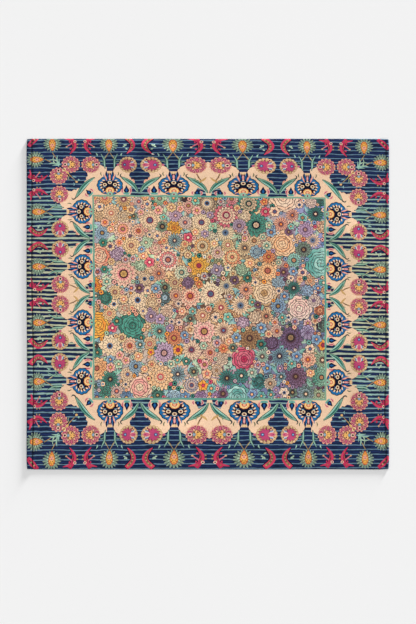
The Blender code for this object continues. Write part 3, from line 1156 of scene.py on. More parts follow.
@dataclass
class ClothShape:
    """The shape in which the cloth lies: the sizes of the solid sheet, and its finer creases."""

    width: float
    depth: float
    thickness: float = 0.003
    rim: float = 0.004
    rim_share: float = 0.60
    corner: float = 0.008
    groove_thickness: float = 0.0016
    groove_half: float = 0.004
    bulge_reach: float = 0.030
    dip_reach: float = 0.060
    ridges: tuple[Ridge, ...] = (
        Ridge(-0.235, 0.655, -13, 0.125, 0.026, 0.0060),
        Ridge(-0.330, 0.610, -28, 0.170, 0.055, 0.0030),
        Ridge(-0.640, 0.330, 82, 0.260, 0.075, 0.0035),
        Ridge(-0.560, -0.250, 64, 0.240, 0.080, 0.0030),
        Ridge(-0.160, -0.560, 12, 0.300, 0.080, 0.0032),
        Ridge(0.330, -0.600, -9, 0.260, 0.070, 0.0028),
        Ridge(0.640, -0.310, 97, 0.280, 0.070, 0.0034),
        Ridge(0.590, 0.280, 118, 0.250, 0.085, 0.0030),
        Ridge(0.250, 0.560, 7, 0.320, 0.085, 0.0030),
        Ridge(0.290, 0.080, 38, 0.260, 0.090, 0.0026),
        Ridge(-0.300, 0.200, -35, 0.280, 0.090, 0.0026),
    )
    creases: tuple[Ridge, ...] = (
        Ridge(-0.262, 0.668, -12, 0.075, 0.008, -0.0012),
        Ridge(-0.205, 0.640, -16, 0.060, 0.007, -0.0010),
        Ridge(-0.120, 0.615, 4, 0.110, 0.014, 0.0008),
        Ridge(0.420, 0.655, 9, 0.090, 0.012, 0.0008),
        Ridge(-0.480, -0.640, -6, 0.120, 0.013, 0.0007),
        Ridge(0.130, -0.655, 5, 0.140, 0.013, 0.0008),
    )
    bulges: tuple[Bulge, ...] = (
        Bulge("left", -0.360, 0.480, 0.006),
        Bulge("right", -0.440, 0.170, 0.006),
    )
    dips: tuple[Bulge, ...] = (
        Bulge("left", -0.260, 0.330, 0.0018),
        Bulge("left", 0.420, 0.200, 0.0008),
        Bulge("right", 0.020, 0.300, 0.0015),
        Bulge("top", 0.080, 0.260, 0.0007),
        Bulge("bottom", 0.480, 0.220, 0.0012),
    )

    @staticmethod
    def relief(at: np.ndarray, ridges: Sequence[Ridge]) -> np.ndarray:
        """The summed height of some ridges at points of the flat cloth."""
        height = np.zeros(len(at))
        for ridge in ridges:
            c, s = math.cos(math.radians(ridge.heading)), math.sin(math.radians(ridge.heading))
            x, y = at[:, 0] - ridge.x, at[:, 1] - ridge.y
            along, across = (x * c + y * s) / ridge.half_length, (y * c - x * s) / ridge.half_width
            height += ridge.height * bump(along) * bump(across)
        return height

    def from_groove(self, at: np.ndarray, hem: Hem) -> np.ndarray:
        """How far inwards of a hem's groove points of the flat cloth lie."""
        return self.width / 2 + hem.inwards * at[:, 0] - hem.width

    def from_edge(self, at: np.ndarray) -> np.ndarray:
        """How far points of the flat cloth lie from its nearest edge, as a share of its rim, 1 at most."""
        nearest = np.minimum(self.width / 2 - np.abs(at[:, 0]), self.depth / 2 - np.abs(at[:, 1]))
        return np.clip(nearest / self.rim, 0, 1)

    def thickness_at(self, at: np.ndarray) -> np.ndarray:
        """The cloth's thickness at points of the flat cloth."""
        full = np.full(len(at), self.thickness)
        for hem in HEMS.values():
            inside = self.from_groove(at, hem)
            outer = np.where(inside < 0, hem.thickness, self.thickness)
            share = np.clip(np.abs(inside) / self.groove_half, 0, 1)
            swell = (outer - self.groove_thickness) * (1 - np.cos(np.pi * share)) / 2
            full = np.where(inside < self.groove_half, self.groove_thickness + swell, full)
        return full * (self.rim_share + (1 - self.rim_share) * np.sin(self.from_edge(at) * np.pi / 2))

    def laid(self, at: np.ndarray) -> np.ndarray:
        """Where points of the flat cloth lie on the floor, seen from above."""
        out = at.copy()
        half = np.array([self.width, self.depth]) / 2
        over = np.clip((np.abs(at) - (half - self.corner)) / self.corner, 0, 1)
        rounded = over * np.sqrt(1 - over[:, ::-1] ** 2 / 2)
        out += np.sign(at) * (rounded - over) * self.corner
        for dip in self.dips:
            axis = 0 if dip.side in ("left", "right") else 1
            inwards = 1 if dip.side in ("left", "bottom") else -1
            from_edge = half[axis] + inwards * at[:, axis]
            along = (at[:, 1 - axis] - dip.along) / dip.half_length
            out[:, axis] += inwards * dip.amount * bump(along) * bump(from_edge / self.dip_reach)
        for bulge in self.bulges:
            hem = HEMS[bulge.side]
            inside = self.from_groove(at, hem)
            reach = np.where(inside > 0, self.bulge_reach, hem.width)
            along = (at[:, 1] - bulge.along) / bulge.half_length
            out[:, 0] += hem.inwards * bulge.amount * bump(along) * bump(inside / reach)
        return out

    def upper(self, at: np.ndarray) -> np.ndarray:
        """Points of the upper side, for points of the flat cloth."""
        height = self.thickness_at(at) + self.relief(at, self.ridges) + self.relief(at, self.creases)
        return np.column_stack([self.laid(at), height])

    def lower(self, at: np.ndarray) -> np.ndarray:
        """Points of the underside, for points of the flat cloth."""
        return np.column_stack([self.laid(at), self.relief(at, self.ridges)])

    def painted_shade(self, at: np.ndarray) -> np.ndarray:
        """How much painted shade darkens points of the flat cloth: in sunk creases, in the hems' grooves and
        along the rim.
        """
        sunk = [crease for crease in self.creases if crease.height < 0]
        # Painted shade in the sunk creases
        share = -self.relief(at, [crease._replace(height=crease.height / 0.0030) for crease in sunk])
        for hem in HEMS.values():
            # Painted shade in each hem's groove
            share += hem.groove_shade * bump(self.from_groove(at, hem) / (hem.groove_shade_reach * self.groove_half))
        # A strip of painted shade along the rim
        share += 0.25 * bump(self.from_edge(at))
        return np.clip(share, 0, 0.8)

    def snapped(self, at: np.ndarray, slack: float) -> np.ndarray:
        """Points of the flat cloth, with those within a slack of its outline moved onto it."""
        edge = np.array([self.width, self.depth]) / 2
        return np.where(np.abs(np.abs(at) - edge) < slack, np.sign(at) * edge, at)

    def outline(self) -> np.ndarray:
        """The flat cloth's four corners."""
        return SQUARE * (self.width / 2, self.depth / 2)

    def guide_lines(self) -> list[np.ndarray]:
        """The lines that shape the rim, the hems and the grooves, as rows of points."""
        x, y = self.width / 2, self.depth / 2
        lines = []
        for share in (0.0, 0.4, 1.0):
            loop = SQUARE * (x - share * self.rim, y - share * self.rim)
            lines += [np.linspace(a, b, 40) for a, b in zip(loop, np.roll(loop, -1, axis=0))]
        for hem in HEMS.values():
            for off in (-1.0, -0.5, 0.0, 0.5, 1.0):
                place = hem.inwards * (-x + hem.width + off * self.groove_half)
                lines.append(np.linspace((place, -y + self.rim), (place, y - self.rim), 60))
        return lines

    def spread_points(self, pitch: float) -> np.ndarray:
        """An even spread of points inside the hems, to carry the ridges."""
        x = np.arange(-self.width / 2 + pitch, self.width / 2 - pitch / 2, pitch)
        y = np.arange(-self.depth / 2 + pitch, self.depth / 2 - pitch / 2, pitch)
        return np.array([(a, b) for b in y for a in x])


@dataclass
class PrintLayout:
    """How the print lies on the cloth: its middle, and how it was drawn out and skewed in printing.

    Attributes:
        middle: The print's middle on the cloth, in metres.
        draw: How much the print's scale falls for each metre upwards, halved.
        skew_x: The drift along X, in millimetres, for 1, x, y, xy, xx, yy, xxy, xyy and xxx.
        skew_y: The same along Y, with x and y in metres.
    """

    middle: tuple[float, float] = (0.0045, 0.0402)
    draw: float = 0.080
    skew_x: tuple[float, ...] = (3.4, -3.8, -4.2, -3.8, -0.5, -12.8, 8.3, 16.4, 0.6)
    skew_y: tuple[float, ...] = (-1.3, -10.1, -8.1, -9.0, -6.8, 14.5, -5.0, 12.4, 4.2)

    def drift(self, x: np.ndarray, y: np.ndarray) -> tuple[np.ndarray, np.ndarray]:
        """How far each point of the print drifts from the even lie, in metres."""
        terms = [np.ones_like(x), x, y, x * y, x * x, y * y, x * x * y, x * y * y, x**3]
        drift_x = sum(weight * MM * term for weight, term in zip(self.skew_x, terms))
        drift_y = sum(weight * MM * term for weight, term in zip(self.skew_y, terms))
        return drift_x, drift_y - self.draw * y * y

    def on_cloth(self, outline: Outline) -> np.ndarray:
        """Points of the print, in millimetres, as points of the flat cloth, in metres."""
        x, y = outline[:, 0] * MM, outline[:, 1] * MM
        drift_x, drift_y = self.drift(x, y)
        return np.column_stack([self.middle[0] + x + drift_x, self.middle[1] + y + drift_y])

    def on_print(self, at: np.ndarray) -> np.ndarray:
        """Points of the flat cloth, in metres, as points of the print, in millimetres."""
        flat = at - self.middle
        x, y = flat[:, 0], flat[:, 1]
        for _ in range(10):
            drift_x, drift_y = self.drift(x, y)
            x, y = flat[:, 0] - drift_x, flat[:, 1] - drift_y
        return np.column_stack([x, y]) / MM


def add_node(tree: bpy.types.NodeTree, kind: str, inputs: Any = (), **settings: Any) -> bpy.types.Node:
    """Adds one node, sets it up and links it.

    Args:
        tree: The tree that it goes into.
        kind: The node's type name.
        inputs: Values, sockets or nodes for its inputs, in their order, or by name or place. A node
            stands for its first output.
        **settings: The node's own settings.

    Returns:
        The node.
    """
    node = tree.nodes.new(kind)
    for name, value in settings.items():
        setattr(node, name, value)
    for name, value in (inputs if isinstance(inputs, dict) else dict(enumerate(inputs))).items():
        if isinstance(value, bpy.types.Node):
            value = value.outputs[0]
        if isinstance(value, bpy.types.NodeSocket):
            tree.links.new(value, node.inputs[name])
        else:
            node.inputs[name].default_value = value
    return node


Adder = Callable[..., bpy.types.Node]


def new_material(name: str) -> tuple[bpy.types.Material, Adder]:
    """Makes an empty node material.

    Returns:
        The material, and what adds a node to its tree.
    """
    material = bpy.data.materials.new(name)
    material.use_nodes = True
    material.node_tree.nodes.clear()
    return material, partial(add_node, material.node_tree)


def tint(hex_colour: str) -> tuple[float, float, float, float]:
    """A hex colour as a linear colour with full cover."""
    return (*linear(hex_colour), 1.0)


@dataclass(frozen=True)
class PrintedFleece:
    """Flannel fleece: brushed polyester knit, printed on its face by heat transfer.

    The short nap scatters light, so it is matt with a faint sheen at low angles, and the dyes look
    a little mottled where the nap leans another way. Painted shade darkens it in its sunk creases,
    in the hems' grooves and along its rim. Its tufts are under a millimetre wide, which is too fine
    to show, so they are drawn as coarse as nap_mm.

    Attributes:
        name: The material's name.
        nap_mm: The size of a tuft of the nap, as drawn.
        dither_mm: The size of the specks where neighbouring dyes mix.
        lean_mm: The size of the areas where the nap leans one way.
        stripe_mm: From one stripe of the navy ground to the next.
        roughness: How matt it is.
    """

    name: str = "printed_flannel_fleece"
    nap_mm: float = 2.4
    dither_mm: float = 5.5
    lean_mm: float = 30.0
    stripe_mm: float = 18.47
    roughness: float = 0.92

    def make(self) -> bpy.types.Material:
        """Builds the material."""
        material, add = new_material(self.name)
        cut = add("ShaderNodeUVMap", uv_map="cut")
        on_print = add("ShaderNodeUVMap", uv_map="print")
        striped = add("ShaderNodeAttribute", attribute_name="striped").outputs["Fac"]
        # The painted shade of creases, grooves and rim, which darkens the dyes
        painted_shade = add("ShaderNodeAttribute", attribute_name="painted_shade").outputs["Fac"]
        shown = {0: striped, 6: self.inked(add, on_print), 7: self.striped_ground(add, on_print)}
        printed = add(MIX, shown, data_type="RGBA").outputs[2]
        nap, dither, lean = (
            add(NOISE, {"Vector": cut, "Scale": 1 / (size * MM), "Detail": detail})
            for size, detail in ((self.nap_mm, 4.0), (self.dither_mm, 3.0), (self.lean_mm, 3.0))
        )
        tone = add(MATHS, (lean, 0.20, 0.90), operation="MULTIPLY_ADD")
        tone = add(MATHS, (nap, 0.70, tone), operation="MULTIPLY_ADD")
        tone = add(MATHS, (dither, 0.50, tone), operation="MULTIPLY_ADD")
        tone = add(MATHS, (tone, 0.60), operation="SUBTRACT")
        # The painted shade darkens every dye under it
        unshaded = add(MATHS, (1.0, painted_shade), operation="SUBTRACT")
        tone = add(MATHS, (tone, unshaded), operation="MULTIPLY")
        hue = add(MATHS, (dither, 0.05, 0.475), operation="MULTIPLY_ADD")
        toned = add("ShaderNodeHueSaturation", {"Hue": hue, "Value": tone, "Color": printed})
        bumped = add("ShaderNodeBump", {"Strength": 0.3, "Distance": 0.001, "Height": nap})
        finish = {"Base Color": toned, "Roughness": self.roughness, "Normal": bumped}
        finish |= {"Specular IOR Level": 0.1, "Sheen Weight": 0.03, "Sheen Roughness": 0.5}
        add("ShaderNodeOutputMaterial", {"Surface": add("ShaderNodeBsdfPrincipled", finish)})
        return material

    def inked(self, add: Adder, print_at: bpy.types.Node) -> bpy.types.NodeSocket:
        """The dyes with the fine dark lines that run out from each shape's middle.

        Args:
            add: Adds a node to the material.
            print_at: The print's coordinates, in metres.

        Returns:
            The inked colour.
        """
        names = {"dye": "Color", "bloom": "Vector", "inking": "Vector", "ink_weight": "Fac"}
        dye, bloom, inking, weight = (
            add("ShaderNodeAttribute", attribute_name=name).outputs[output]
            for name, output in names.items()
        )
        at = add("ShaderNodeSeparateXYZ", (bloom,)).outputs
        given = add("ShaderNodeSeparateXYZ", (inking,)).outputs
        reach = add("ShaderNodeVectorMath", (bloom,), operation="LENGTH").outputs["Value"]
        reach = add(MATHS, (reach, 0.5), operation="MAXIMUM")
        turn = add(MATHS, (at[1], at[0]), operation="ARCTAN2")
        half_count = add(MATHS, (given[0], 0.5), operation="MULTIPLY")
        wobble = add(NOISE, {"Vector": print_at, "Scale": 70.0, "Detail": 1.0})
        around = add(MATHS, (turn, half_count), operation="MULTIPLY")
        around = add(MATHS, (wobble, 2.4, around), operation="MULTIPLY_ADD")
        outwards = add(MATHS, (reach, math.e), operation="LOGARITHM")
        lines = []
        for swirl in given[1], given[2]:
            phase = add(MATHS, (swirl, outwards, around), operation="MULTIPLY_ADD")
            crest = add(MATHS, (phase,), operation="SINE")
            crest = add(MATHS, (crest,), operation="ABSOLUTE")
            crest = add(MATHS, (crest, reach), operation="MULTIPLY")
            steep = add(MATHS, (swirl, swirl), operation="MULTIPLY")
            steep = add(MATHS, (half_count, half_count, steep), operation="MULTIPLY_ADD")
            steep = add(MATHS, (steep,), operation="SQRT")
            steep = add(MATHS, (steep, 0.5), operation="MAXIMUM")
            lines.append(add(MATHS, (crest, steep), operation="DIVIDE"))
        nearest = add(MATHS, lines, operation="MINIMUM")
        full = add(MATHS, (weight, 0.7), operation="MULTIPLY")
        edge = add(MATHS, (full, 0.9), operation="ADD")
        line = add(RAMP, (nearest, full, edge, 1.0, 0.0), interpolation_type="SMOOTHSTEP")
        line = add(MATHS, (line, weight), operation="MULTIPLY")
        dark = add(MIX, {0: 0.90, 6: dye, 7: tint(Dye.BROWN.value)}, data_type="RGBA").outputs[2]
        return add(MIX, {0: line, 6: dye, 7: dark}, data_type="RGBA").outputs[2]

    def striped_ground(self, add: Adder, print_at: bpy.types.Node) -> bpy.types.NodeSocket:
        """The navy ground with its broken, slightly wavy stripes.

        Args:
            add: Adds a node to the material.
            print_at: The print's coordinates, in metres.

        Returns:
            The ground's colour.
        """
        up = add("ShaderNodeSeparateXYZ", (print_at,)).outputs["Y"]
        wave, streak, patch = (
            add(
                NOISE,
                {
                    "Vector": add("ShaderNodeMapping", {"Vector": print_at, "Scale": scale}),
                    "Scale": 1.0,
                    "Detail": detail,
                },
            )
            for *scale, detail in ((7.0, 22.0, 1.0, 2.0), (42.0, 240.0, 1.0, 3.0), (22.0, 34.0, 1.0, 2.0))
        )
        rows = add(MATHS, (up, 1 / (self.stripe_mm * MM)), operation="MULTIPLY")
        rows = add(MATHS, (wave, 0.7, rows), operation="MULTIPLY_ADD")
        rows = add(MATHS, (rows, 0.35), operation="SUBTRACT")
        away = add(MATHS, (rows, 0.5), operation="PINGPONG")
        away = add(MATHS, (streak, 0.30, away), operation="MULTIPLY_ADD")
        away = add(MATHS, (away, 0.15), operation="SUBTRACT")
        height = add(MATHS, (up,), operation="ABSOLUTE")
        outer, far, between, patchy, middle = (
            add(RAMP, limits, interpolation_type="SMOOTHSTEP")
            for limits in (
                (height, 0.16, 0.36),
                (height, 0.40, 0.52),
                (away, 0.24, 0.48),
                (patch, 0.46, 0.62),
                (height, 0.14, 0.34, 0.6, 0.0),
            )
        )
        half = add(MATHS, (far, -0.075, 0.175), operation="MULTIPLY_ADD")
        inside = add(MATHS, (half, 0.06), operation="SUBTRACT")
        outside = add(MATHS, (half, 0.07), operation="ADD")
        line = add(RAMP, (away, inside, outside, 1.0, 0.0), interpolation_type="SMOOTHSTEP")
        strength = add(MATHS, (far, -0.25, 0.95), operation="MULTIPLY_ADD")
        line = add(MATHS, (line, strength), operation="MULTIPLY")
        glint = add(MATHS, (streak, 0.45), operation="MULTIPLY")
        navy, pale = tint("#060b1c"), tint("#c0c4a4")
        blues = ((between, "#192753"), (patchy, "#070c1c"), (middle, "#050812"), (glint, "#2b4172"))
        for share, colour in blues:
            navy = add(MIX, {0: share, 6: navy, 7: tint(colour)}, data_type="RGBA").outputs[2]
        for share, colour in ((outer, "#92b2ac"), (far, "#7597ae")):
            pale = add(MIX, {0: share, 6: pale, 7: tint(colour)}, data_type="RGBA").outputs[2]
        return add(MIX, {0: line, 6: navy, 7: pale}, data_type="RGBA").outputs[2]


@dataclass(frozen=True)
class PlainFleece:
    """The brushed underside of the same fleece, which the print doesn't reach: off-white and matt.

    Its nap is drawn as coarse as nap_mm, because the real one is too fine to show.
    """

    name: str = "brushed_fleece_back"
    colour: str = "#e9e2d6"
    nap_mm: float = 3.0

    def make(self) -> bpy.types.Material:
        """Builds the material."""
        material, add = new_material(self.name)
        cut = add("ShaderNodeUVMap", uv_map="cut")
        nap = add(NOISE, {"Vector": cut, "Scale": 1 / (self.nap_mm * MM), "Detail": 3.0})
        tone = add(MATHS, (nap, 0.3, 0.85), operation="MULTIPLY_ADD")
        toned = add("ShaderNodeHueSaturation", {"Value": tone, "Color": tint(self.colour)})
        bumped = add("ShaderNodeBump", {"Strength": 0.3, "Distance": 0.001, "Height": nap})
        finish = {"Base Color": toned, "Roughness": 0.93, "Normal": bumped}
        add("ShaderNodeOutputMaterial", {"Surface": add("ShaderNodeBsdfPrincipled", finish)})
        return material


@dataclass(frozen=True)
class SewingThread:
    """Spun polyester sewing thread, dyed navy: matt, with a slight twist that breaks up the light."""

    name: str = "spun_polyester_thread"
    twist_mm: float = 0.9

    def make(self) -> bpy.types.Material:
        """Builds the material."""
        material, add = new_material(self.name)
        place = add("ShaderNodeTexCoord").outputs["Object"]
        twist = add(NOISE, {"Vector": place, "Scale": 1 / (self.twist_mm * MM), "Detail": 2.0})
        dyes = {0: twist, 6: tint(Dye.INK.value), 7: tint("#34426e")}
        colour = add(MIX, dyes, data_type="RGBA").outputs[2]
        shader = add("ShaderNodeBsdfPrincipled", {"Base Color": colour, "Roughness": 0.7})
        add("ShaderNodeOutputMaterial", {"Surface": shader})
        return material


class Division(NamedTuple):
    """The flat cloth cut into triangles: their points, their corners and the outline each shows."""

    at: np.ndarray
    triangles: np.ndarray
    owner: np.ndarray


def within(at: np.ndarray, outline: Outline) -> np.ndarray:
    """Whether each of some points lies inside an outline."""
    inside = np.zeros(len(at), dtype=bool)
    x, y = at[:, 0], at[:, 1]
    for (x0, y0), (x1, y1) in zip(outline, np.roll(outline, -1, axis=0)):
        if y0 != y1:
            inside ^= ((y0 > y) != (y1 > y)) & (x < x0 + (y - y0) * (x1 - x0) / (y1 - y0))
    return inside


def eased(at: np.ndarray, edges: np.ndarray, tolerance: float) -> np.ndarray:
    """Drops the points that lie on a straight run of some edges.

    Args:
        at: The points.
        edges: Pairs of their numbers.
        tolerance: How far off the run a dropped point may lie.

    Returns:
        The fewer edges.
    """
    place = [complex(x, y) for x, y in at.tolist()]
    near: dict[int, set[int]] = {}
    for a, b in edges.tolist():
        near.setdefault(a, set()).add(b)
        near.setdefault(b, set()).add(a)
    for point in sorted(near):
        if len(near[point]) != 2:
            continue
        a, b = near[point]
        span = place[b] - place[a]
        off = (span.conjugate() * (place[point] - place[a])).imag
        if b not in near[a] and abs(off) < tolerance * abs(span):
            near[a] = near[a] - {point} | {b}
            near[b] = near[b] - {point} | {a}
            near[point] = set()
    return np.array([(a, b) for a in near for b in near[a] if a < b])


@dataclass
class ThrowCloth:
    """The printed sheet of cloth, built from its print.

    Attributes:
        shape: The shape in which it lies.
        layout: How the print lies on it.
        plan: The border of the print.
        pitch: The spacing of the points that carry its ridges, in metres.
        weld: How near two points are taken as one, in metres.
        ease: How far off a straight run a point may lie and be dropped, in metres.
        bake_margin: The room round the sheet in its flat map, in metres.
        bake_strip: The share of that map's height that the underside takes.
    """

    shape: ClothShape
    layout: PrintLayout = field(default_factory=PrintLayout)
    plan: BorderPlan = field(default_factory=BorderPlan)
    pitch: float = 0.030
    weld: float = 2e-5
    ease: float = 4e-4
    bake_margin: float = 0.003
    bake_strip: float = 0.08

    def patches(self) -> Motif:
        """Every shape of the print, from the back to the front."""
        meadow = FlowerField(self.plan.half_width, self.plan.half_height)
        return [*meadow.motifs(), *self.plan.motifs()]

    def divided(self, outlines: list[np.ndarray], looks: list[int]) -> Division:
        """Cuts the flat cloth into triangles along the outlines that show.

        Args:
            outlines: The cloth's own outline first, then each patch's, from the back to the front.
            looks: A number for each outline, the same for those that look the same.

        Returns:
            The triangles.
        """
        covered = self.overlaid(outlines)
        seen = eased(covered.at, self.seams(covered, np.array(looks)), self.ease)
        used, edges = np.unique(seen, return_inverse=True)
        points = [covered.at[used]]
        edges = edges.reshape(-1, 2).tolist()
        count = len(used)
        for line in self.shape.guide_lines():
            points.append(line)
            edges += [(count + n, count + n + 1) for n in range(len(line) - 1)]
            count += len(line)
        points.append(self.shape.spread_points(self.pitch))
        flat = [Vector(p) for p in np.vstack(points).tolist()]
        found = delaunay_2d_cdt(flat, edges, [], 0, self.weld, True)
        at = self.shape.snapped(np.array([tuple(p) for p in found[0]]), self.weld)
        triangles = np.array(found[2])
        raised = np.column_stack([covered.at, np.zeros(len(covered.at))])
        tree = BVHTree.FromPolygons(raised.tolist(), covered.triangles.tolist(), all_triangles=True)
        hits = [tree.find_nearest((x, y, 0.0))[2] for x, y in at[triangles].mean(axis=1).tolist()]
        return Division(at, triangles, covered.owner[hits])

    def overlaid(self, outlines: list[np.ndarray]) -> Division:
        """Cuts the flat cloth along all outlines, those that are covered too."""
        faces = []
        count = 0
        turned_left = []
        for outline in outlines:
            x, y = outline[:, 0], outline[:, 1]
            area = np.dot(x, np.roll(y, -1)) - np.dot(y, np.roll(x, -1))
            turned_left.append(outline if area > 0 else outline[::-1])
            faces.append(list(range(count, count + len(outline))))
            count += len(outline)
        flat = [Vector(p) for p in np.vstack(turned_left).tolist()]
        found = delaunay_2d_cdt(flat, [], faces, 1, self.weld, True)
        at = self.shape.snapped(np.array([tuple(p) for p in found[0]]), self.weld)
        triangles = np.array(found[2])
        a, b, c = (at[triangles[:, n]] for n in range(3))
        size = np.abs((b - a)[:, 0] * (c - a)[:, 1] - (b - a)[:, 1] * (c - a)[:, 0]) / 2
        middle = (a + b + c) / 3
        number = np.array([n for owners in found[5] for n in owners])
        place = np.repeat(np.arange(len(triangles)), [len(owners) for owners in found[5]])
        filled = np.bincount(number, weights=size[place], minlength=len(outlines))
        room = np.array([np.prod(np.ptp(outline, axis=0)) for outline in outlines])
        # A fill that is larger than its outline's box has leaked, so it is found again point by point
        spilt = filled > 1.02 * room + 1e-9
        owner = np.full(len(triangles), -1)
        sound = ~spilt[number]
        np.maximum.at(owner, place[sound], number[sound])
        for n in np.flatnonzero(spilt):
            owner[(owner < n) & within(middle, outlines[n])] = n
        kept = np.all(np.abs(middle) < [self.shape.width / 2, self.shape.depth / 2], axis=1)
        return Division(at, triangles[kept], owner[kept])

    @staticmethod
    def seams(covered: Division, looks: np.ndarray) -> np.ndarray:
        """The edges between triangles that look different, and those of the rim."""
        sides = np.vstack([covered.triangles[:, pair] for pair in ([0, 1], [1, 2], [2, 0])])
        look = np.tile(looks[covered.owner], 3)
        edges, number = np.unique(np.sort(sides, axis=1), axis=0, return_inverse=True)
        number = number.ravel()
        least = np.full(len(edges), looks.max() + 1)
        most = np.full(len(edges), -1)
        np.minimum.at(least, number, look)
        np.maximum.at(most, number, look)
        alone = np.bincount(number, minlength=len(edges)) == 1
        return edges[alone | (least != most)]

    def build(self, face: bpy.types.Material, back: bpy.types.Material) -> bpy.types.Object:
        """Makes the cloth as one closed mesh.

        Args:
            face: The printed side's material.
            back: The underside's material.

        Returns:
            The cloth's object.
        """
        patches = self.patches()
        outlines = [self.shape.outline(), *[self.layout.on_cloth(p.outline) for p in patches]]
        kinds: dict[Any, int] = {}
        looks = [0] + [kinds.setdefault(p.look(n), len(kinds) + 1) for n, p in enumerate(patches)]
        at, triangles, owner = self.divided(outlines, looks)
        used, triangles = np.unique(triangles, return_inverse=True)
        at, triangles = at[used], triangles.reshape(-1, 3)
        log.info("print: %d shapes, %d triangles", len(patches), len(triangles))
        rim = rim_loop(triangles)
        below = self.underside(at[rim])
        lower_rim = len(at) + np.arange(len(rim))
        walls = []
        for n in range(len(rim)):
            after = (n + 1) % len(rim)
            walls.append((rim[after], rim[n], lower_rim[n]))
            walls.append((rim[after], lower_rim[n], lower_rim[after]))
        under = below.triangles[:, ::-1] + len(at)
        faces = np.vstack([triangles, np.array(walls), under])
        every = np.vstack([at, below.at])
        mesh = bpy.data.meshes.new("printed_throw")
        corners = np.vstack([self.shape.upper(at), self.shape.lower(below.at)])
        mesh.from_pydata(corners.tolist(), [], faces.tolist())
        mesh.materials.append(face)
        mesh.materials.append(back)
        is_under = np.arange(len(faces)) >= len(triangles) + len(walls)
        mesh.polygons.foreach_set("material_index", is_under.astype(np.int32))
        self.write_dyes(mesh, patches, outlines, faces, owner, every)
        self.write_maps(mesh, faces, every, is_under, len(at))
        mesh.shade_smooth()
        mesh.validate()
        cloth = bpy.data.objects.new("printed_throw", mesh)
        bpy.context.scene.collection.objects.link(cloth)
        return cloth

    class Underside(NamedTuple):
        """The flat points of the underside, with those of its rim first, and its triangles."""

        at: np.ndarray
        triangles: np.ndarray

    def underside(self, rim: np.ndarray) -> "ThrowCloth.Underside":
        """Fills the underside with coarser triangles that share the upper side's rim.

        Args:
            rim: The rim's points, anticlockwise.

        Returns:
            The underside.
        """
        inner = self.shape.spread_points(self.pitch * 1.6)
        flat = [Vector(p) for p in np.vstack([rim, inner]).tolist()]
        # The finest weld keeps every point of the rim
        found = delaunay_2d_cdt(flat, [], [list(range(len(rim)))], 1, 1e-9, True)
        number = {owner: n for n, owners in enumerate(found[3]) for owner in owners}
        order = [number[n] for n in range(len(rim))]
        rest = [n for n in range(len(found[0])) if n not in set(order)]
        place = {old: new for new, old in enumerate(order + rest)}
        at = np.array([tuple(found[0][n]) for n in order + rest])
        return self.Underside(at, np.array([[place[v] for v in face] for face in found[2]]))

    def write_dyes(
        self,
        mesh: bpy.types.Mesh,
        patches: Motif,
        outlines: list[np.ndarray],
        faces: np.ndarray,
        owner: np.ndarray,
        at: np.ndarray,
    ) -> None:
        """Gives each corner its dye, shaded from its patch's heart to its rim, and its inking.

        Args:
            mesh: The cloth's mesh.
            patches: The print's shapes.
            outlines: The flat cloth's outline, then each shape's.
            faces: All the triangles, the upper side's first.
            owner: The topmost outline of each triangle of the upper side.
            at: The flat place of every point.
        """
        ground = Patch(outlines[0], Dye.NAVY, Dye.NAVY, True)
        shapes = [ground, *patches]
        hearts = np.array([linear(p.heart.value) for p in shapes])
        rims = np.array([linear(p.rim.value) for p in shapes])
        middles = np.array([outline.mean(axis=0) for outline in outlines])
        reach = np.array([np.linalg.norm(o - m, axis=1).max() for o, m in zip(outlines, middles)])
        owner = np.concatenate([owner, np.zeros(len(faces) - len(owner), dtype=int)])
        place = at[faces]
        share = np.linalg.norm(place - middles[owner][:, None], axis=2) / reach[owner][:, None]
        core = np.array([p.core for p in shapes])[owner][:, None]
        share = np.clip((share - core) / (1 - core), 0, 1)[:, :, None]
        colour = hearts[owner][:, None] * (1 - share) + rims[owner][:, None] * share
        on_print = self.layout.on_print(at)[faces]
        wash = np.array([p.wash for p in shapes])[owner][:, None, None]
        cloud = washed(on_print)
        colour *= (cloud / CLOUD_MEAN) ** wash
        colour /= np.maximum(colour.max(axis=2, keepdims=True) / BRIGHTEST, 1)
        full = np.concatenate([colour, np.ones((*colour.shape[:2], 1))], axis=2)
        layer = mesh.color_attributes.new("dye", "FLOAT_COLOR", "CORNER")
        layer.data.foreach_set("color", full.astype(np.float32).ravel())
        back = np.array([np.linalg.inv(p.frame)[:2] for p in shapes])[owner]
        bloom = np.einsum("fij,fcj->fci", back[:, :, :2], on_print) + back[:, None, :, 2]
        bloom = np.concatenate([bloom, np.zeros((*bloom.shape[:2], 1))], axis=2)
        self.write_attribute(mesh, "bloom", "FLOAT_VECTOR", "CORNER", bloom)
        lines = np.array([p.inking for p in shapes])[owner]
        self.write_attribute(mesh, "inking", "FLOAT_VECTOR", "FACE", lines[:, :3])
        weight = np.where(lines[:, 0] > 0, lines[:, 3], 0.0)
        self.write_attribute(mesh, "ink_weight", "FLOAT", "FACE", weight)
        stripes = np.array([p.striped for p in shapes])[owner]
        self.write_attribute(mesh, "striped", "FLOAT", "FACE", stripes)
        # The painted shade of creases, grooves and rim, from 0 to 1
        self.write_attribute(mesh, "painted_shade", "FLOAT", "POINT", self.shape.painted_shade(at))

    @staticmethod
    def write_attribute(
        mesh: bpy.types.Mesh, name: str, kind: str, domain: str, values: np.ndarray
    ) -> None:
        """Writes one attribute of the mesh."""
        layer = mesh.attributes.new(name, kind, domain)
        key = "vector" if kind == "FLOAT_VECTOR" else "value"
        layer.data.foreach_set(key, np.asarray(values, dtype=np.float32).ravel())

